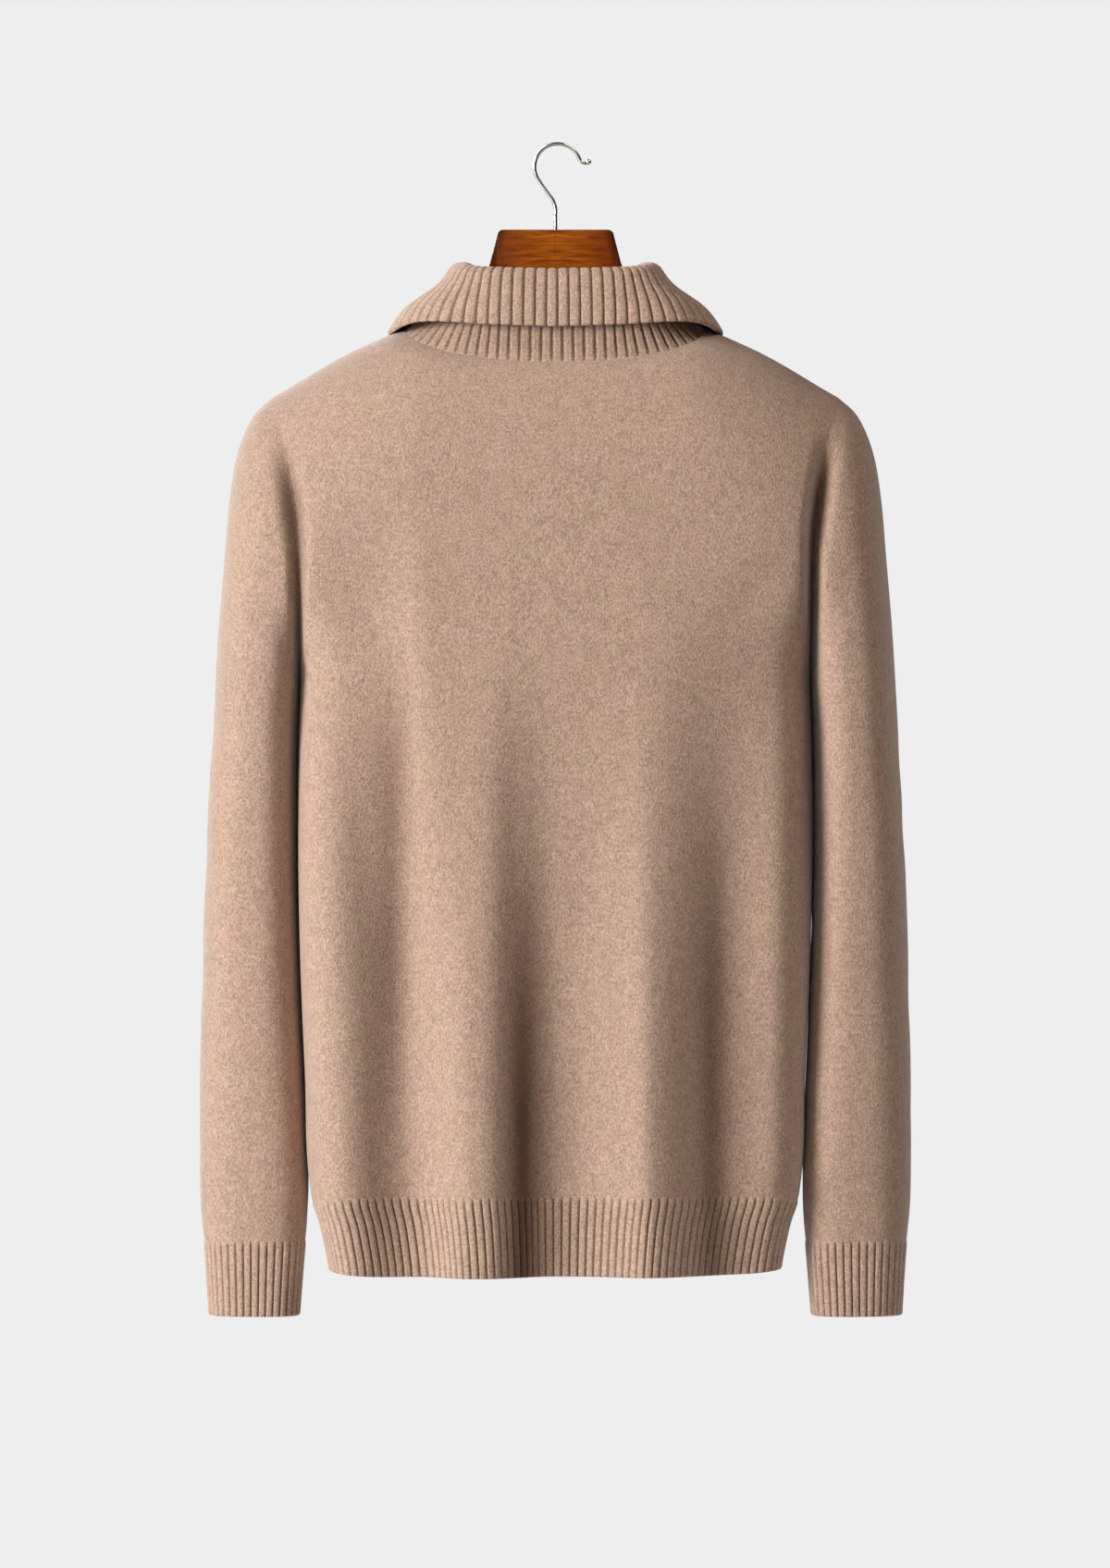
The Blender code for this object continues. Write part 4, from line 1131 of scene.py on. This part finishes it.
def makeHangerHalf(side, name):
    clearSelection()
    x, top, bottom, half = hangerRows[0]
    middle, height, thick = (top + bottom) / 2, top - bottom, 2 * half
    bpy.ops.mesh.primitive_plane_add(size=1, location=(side * x, 0, middle),
                                     rotation=(0, pi / 2, 0))
    piece = bpy.context.object
    piece.name = "hanger_" + name + "_wood"
    piece.scale = (height, thick, 1)
    bpy.ops.object.transform_apply(location=False, rotation=True, scale=True)
    bpy.ops.object.mode_set(mode="EDIT")
    bpy.ops.mesh.select_all(action="SELECT")
    for nextX, nextTop, nextBottom, nextHalf in hangerRows[1:]:
        nextMiddle, nextHeight = (nextTop + nextBottom) / 2, nextTop - nextBottom
        move = (side * (nextX - x), 0, nextMiddle - middle)
        bpy.ops.mesh.extrude_region_move(TRANSFORM_OT_translate={"value": move})
        bpy.ops.transform.resize(value=(1, 2 * nextHalf / thick, nextHeight / height),
                                 center_override=(side * nextX, 0, nextMiddle))
        x, middle, height, thick = nextX, nextMiddle, nextHeight, 2 * nextHalf
    bpy.ops.mesh.select_all(action="SELECT")
    bpy.ops.mesh.normals_make_consistent(inside=False)
    bpy.ops.object.mode_set(mode="OBJECT")
    addBevel(piece, hanger["edge"], 4, hanger["edgeAngle"])
    settle(piece, wood, hanger["smoothAngle"])
    bpy.ops.object.mode_set(mode="EDIT")  # saw it off flat at the mitre
    bpy.ops.mesh.select_all(action="SELECT")
    bpy.ops.mesh.bisect(plane_co=(0, 0, 0), plane_no=(side, 0, 0), use_fill=True,
                        clear_inner=True)
    bpy.ops.object.mode_set(mode="OBJECT")
    bpy.ops.object.shade_smooth_by_angle(angle=radians(hanger["smoothAngle"]))
    return piece


hangerParts = [makeHangerHalf(1, "left"), makeHangerHalf(-1, "right")]

hook = {
    "wire": 0.0013,
    "radius": 0.0165,
    "offset": 0.0016,
    "turns": (24, 215),  # the loop's first and last angle
    "tip": ((-0.0075, -0.0031), (-0.0046, -0.0040), (-0.0018, -0.0029)),  # from the loop's start
    "stemStart": (0.003, 0.008),  # below the bend
    "stemEndZ": -0.0600,
    "ball": 0.0020,
    "ballReach": 0.0006,
    "colour": (0.74, 0.73, 0.71, 1),
}


def plainMaterial(name, colour, roughness, metallic=0.0):
    material, tree, shader = newMaterial(name)
    feed(shader, {"Base Color": colour, "Roughness": roughness, "Metallic": metallic})
    return material


steel = plainMaterial("polished steel wire", hook["colour"], 0.28, 1.0)


def makeHook():
    radius, (first, last) = hook["radius"], hook["turns"]
    turns = np.radians(np.linspace(first, last, 40))
    loop = np.stack((-hook["offset"] - radius * np.cos(turns),
                     hook["wire"] - radius + radius * np.sin(turns)), -1)
    tip = loop[0] + np.array(hook["tip"])
    endX, endZ = loop[-1]
    bendZ = endZ - endX * cos(radians(last)) / sin(radians(last))
    upper, lower = hook["stemStart"]
    stem = np.array(((endX * 0.5, endZ + (bendZ - endZ) * 0.5),
                     (endX * 0.15, endZ + (bendZ - endZ) * 0.85),
                     (0.0, bendZ - upper), (0.0, bendZ - lower), (0.0, hook["stemEndZ"])))
    line = np.concatenate((tip, loop, stem))
    run = np.concatenate(([0], np.cumsum(np.linalg.norm(np.diff(line, axis=0), axis=1))))
    rows = np.column_stack((run, line))
    fine = np.linspace(0, run[-1], 220)
    x, z = readRows(rows, 1, fine), readRows(rows, 2, fine)
    clearSelection()
    bpy.ops.curve.primitive_bezier_curve_add(location=(0, 0, 0))
    piece = bpy.context.object
    piece.name = "hook_wire"
    shape = piece.data
    shape.splines.clear()
    spline = shape.splines.new("POLY")
    spline.points.add(len(fine) - 1)
    for point, px, pz in zip(spline.points, x, z):
        point.co = (px, 0, pz, 1)
    shape.bevel_depth = hook["wire"]
    shape.bevel_resolution = 4
    shape.use_fill_caps = True
    bpy.ops.object.convert(target="MESH")
    piece = bpy.context.object
    bpy.ops.mesh.primitive_uv_sphere_add(radius=hook["ball"], segments=24, ring_count=14,
                                         location=(x[0] + hook["ballReach"], 0, z[0]))
    selectOnly(piece, bpy.context.object)
    bpy.ops.object.join()
    return settle(piece, steel, 60)


hookPart = makeHook()
print("hanger made")

button = {
    "count": 6,
    "topZ": -0.2400,
    "bottomZ": -0.7750,
    "radius": 0.0100,
    "thick": 0.0038,
    "gap": 0.0007,
    "rim": 0.0016,  # width of the raised rim
    "slope": 0.0012,
    "dish": 0.0009,  # how far the middle lies below it
    "edge": 0.0006,
    "hole": 0.0009,
    "holeSpread": 0.0020,
    "light": (0.130, 0.062, 0.030, 1),
    "dark": (0.030, 0.014, 0.008, 1),
    "thread": 0.00028,
    "threadGap": 0.00045,
    "threadOver": 0.0008,  # a strand is this much longer than the holes are apart
    "threadLift": 0.0002,  # how far it lies above the dish
    "threadLeg": 0.0028,  # length of its end that goes down into a hole
    "legDepth": 0.0013,
    "threadColour": (0.23, 0.14, 0.09, 1),
}


def hornMaterial():
    material, tree, shader = newMaterial("dark horn")
    place = addNode(tree, "TexCoord", {}).outputs["Object"]
    cloud = addNoise(tree, place, 120.0, 4.0, Distortion=1.4)
    feed(shader, {"Base Color": addMix(tree, cloud, button["dark"], button["light"]),
                  "Roughness": 0.32})
    return material


horn = hornMaterial()
thread = plainMaterial("sewing thread", button["threadColour"], 0.8)


def makeFirstButton():  # at the origin with its back at y = 0, facing -Y
    clearSelection()
    middle = -button["thick"] / 2
    bpy.ops.mesh.primitive_cylinder_add(vertices=48, radius=button["radius"],
                                        depth=button["thick"], location=(0, middle, 0),
                                        rotation=(pi / 2, 0, 0))
    piece = bpy.context.object
    bpy.ops.object.transform_apply(location=True, rotation=True, scale=True)
    bpy.ops.object.mode_set(mode="EDIT")
    bpy.ops.mesh.select_all(action="DESELECT")
    bpy.ops.object.mode_set(mode="OBJECT")
    for polygon in piece.data.polygons:
        polygon.select = polygon.normal.y < -0.9
    bpy.ops.object.mode_set(mode="EDIT")
    bpy.ops.mesh.inset(thickness=button["rim"])
    bpy.ops.mesh.inset(thickness=button["slope"], depth=-button["dish"])
    bpy.ops.object.mode_set(mode="OBJECT")
    addBevel(piece, button["edge"], 3, 25)
    bpy.ops.object.modifier_apply(modifier="rounding")
    drills = []
    for sx in (-1, 1):
        for sz in (-1, 1):
            clearSelection()
            place = (sx * button["holeSpread"], middle, sz * button["holeSpread"])
            bpy.ops.mesh.primitive_cylinder_add(vertices=16, radius=button["hole"], depth=0.02,
                                                location=place, rotation=(pi / 2, 0, 0))
            drills.append(bpy.context.object)
    for drill in drills:
        selectOnly(piece)
        bore = piece.modifiers.new("bore", "BOOLEAN")
        bore.operation = "DIFFERENCE"
        bore.object = drill
        bpy.ops.object.modifier_apply(modifier="bore")
        bpy.data.objects.remove(drill)
    return piece


def addStrand(length, place, turn=0.0):
    bpy.ops.mesh.primitive_cylinder_add(vertices=8, radius=button["thread"], depth=length,
                                        location=place, rotation=(turn, 0, 0))
    return bpy.context.object


def makeFirstThread():  # two bundles of three strands, each down into its holes
    clearSelection()
    parts = []
    reach = button["holeSpread"]
    front = -button["thick"] + button["dish"] - button["threadLift"]
    for sx in (-1, 1):
        for lean in (-1, 0, 1):
            x = sx * reach + lean * button["threadGap"]
            parts.append(addStrand(2 * reach + button["threadOver"], (x, front, 0)))
            for sz in (-1, 1):
                place = (x, front + button["legDepth"], sz * (reach + 0.0002))
                parts.append(addStrand(button["threadLeg"], place, pi / 2))
    selectOnly(*parts)
    bpy.ops.object.join()
    return bpy.context.object


firstButton, firstThread = makeFirstButton(), makeFirstThread()
buttonParts, threadParts = [], []
for number, z in enumerate(np.linspace(button["topZ"], button["bottomZ"], button["count"]), 1):
    around = z + np.array((-1, 0, 1)) * button["radius"]
    face = float(bodyY(-1, np.zeros(3), around).min()) - button["gap"]
    for first, parts, word, finish in ((firstButton, buttonParts, "button", horn),
                                       (firstThread, threadParts, "button_thread", thread)):
        copy = first.copy()
        copy.data = first.data.copy()
        copy.name = f"{word}_{number}_sewn"
        copy.location = (0, face, z)
        bpy.context.scene.collection.objects.link(copy)
        parts.append(settle(copy, finish, 30))
for first in (firstButton, firstThread):
    bpy.data.objects.remove(first)
print("buttons made")


# What each piece stands for.

for node, piece in cloth.items():
    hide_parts(node)
    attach(piece, "root")
for number, (piece, sewing) in enumerate(zip(buttonParts, threadParts), 1):
    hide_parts(f"button_{number}")
    for part in (piece, sewing):
        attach(part, "root")
for name, piece in zip(("left", "right"), hangerParts):
    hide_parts("hanger_" + name)
    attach(piece, "root")
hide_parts("hook")
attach(hookPart, "root")

print("pieces attached")


# Floor, light and camera.

studio = {
    "floorZ": -1.45,
    "floorRadius": 4.4,
    "floor": 0.72,
    "backdrop": 0.855,
    "ambient": (1.0, 0.76, 0.56, 1),
    "ambientPower": 0.030,
    "middle": (0, 0, -0.46),  # where the lights point
    "distance": 4.5,
    "lights": {  # direction, size, power, colour
        "key light": ((0.800, 0.560, 0.215), 2.0, 250.0, (1.0, 0.99, 0.98)),
        "top light": ((0.41, 0.41, 0.82), 2.2, 17.0, (1.0, 0.93, 0.85)),
        "far light": ((-0.45, 0.24, 0.86), 2.2, 66.0, (1.0, 0.91, 0.81)),
        "front light": ((0.35, -0.85, 0.40), 2.0, 150.0, (1.0, 0.98, 0.95)),
    },
    "camera": (0.0003, 6.0, -0.4554),
    "viewHeight": 1.1187,  # of the frame, at the middle of the garment
}


def makeFloor():
    clearSelection()
    bpy.ops.mesh.primitive_circle_add(vertices=96, radius=studio["floorRadius"],
                                      fill_type="NGON", location=(0, 0, studio["floorZ"]))
    floor = bpy.context.object
    floor.name = "floor"
    grey = studio["floor"]
    floor.data.materials.append(plainMaterial("pale floor", (grey, grey, grey, 1), 0.9))


def makeWorld():  # the camera sees the backdrop, the garment gets the ambient light
    world = bpy.data.worlds.new("studio")
    bpy.context.scene.world = world
    world.use_nodes = True
    tree = world.node_tree
    tree.nodes.clear()
    grey = studio["backdrop"]
    seen = addNode(tree, "Background", {"Color": (grey, grey, grey, 1)})
    glow = addNode(tree, "Background", {"Color": studio["ambient"],
                                        "Strength": studio["ambientPower"]})
    path = addNode(tree, "LightPath", {})
    mix = addNode(tree, "MixShader", {"Fac": path.outputs["Is Camera Ray"],
                                      1: glow.outputs["Background"],
                                      2: seen.outputs["Background"]})
    addNode(tree, "OutputWorld", {"Surface": mix.outputs["Shader"]})


def makeLight(name, direction, size, power, colour):
    clearSelection()
    towards = Vector(direction).normalized()
    place = Vector(studio["middle"]) + towards * studio["distance"]
    bpy.ops.object.light_add(type="AREA", location=place)
    lamp = bpy.context.object
    lamp.name = name
    lamp.rotation_euler = towards.to_track_quat("Z", "Y").to_euler()
    lamp.data.shape = "DISK"
    lamp.data.size = size
    lamp.data.energy = power
    lamp.data.color = colour


def makeCamera():
    clearSelection()
    bpy.ops.object.camera_add(location=studio["camera"], rotation=(pi / 2, 0, pi))
    camera = bpy.context.object
    camera.data.sensor_width = 36
    camera.data.lens = 36 * studio["camera"][1] / studio["viewHeight"]
    camera.data.clip_end = 40
    bpy.context.scene.camera = camera


makeFloor()
makeWorld()
for name, look in studio["lights"].items():
    makeLight(name, *look)
makeCamera()
bpy.context.scene.view_settings.view_transform = "Standard"
print("studio made")
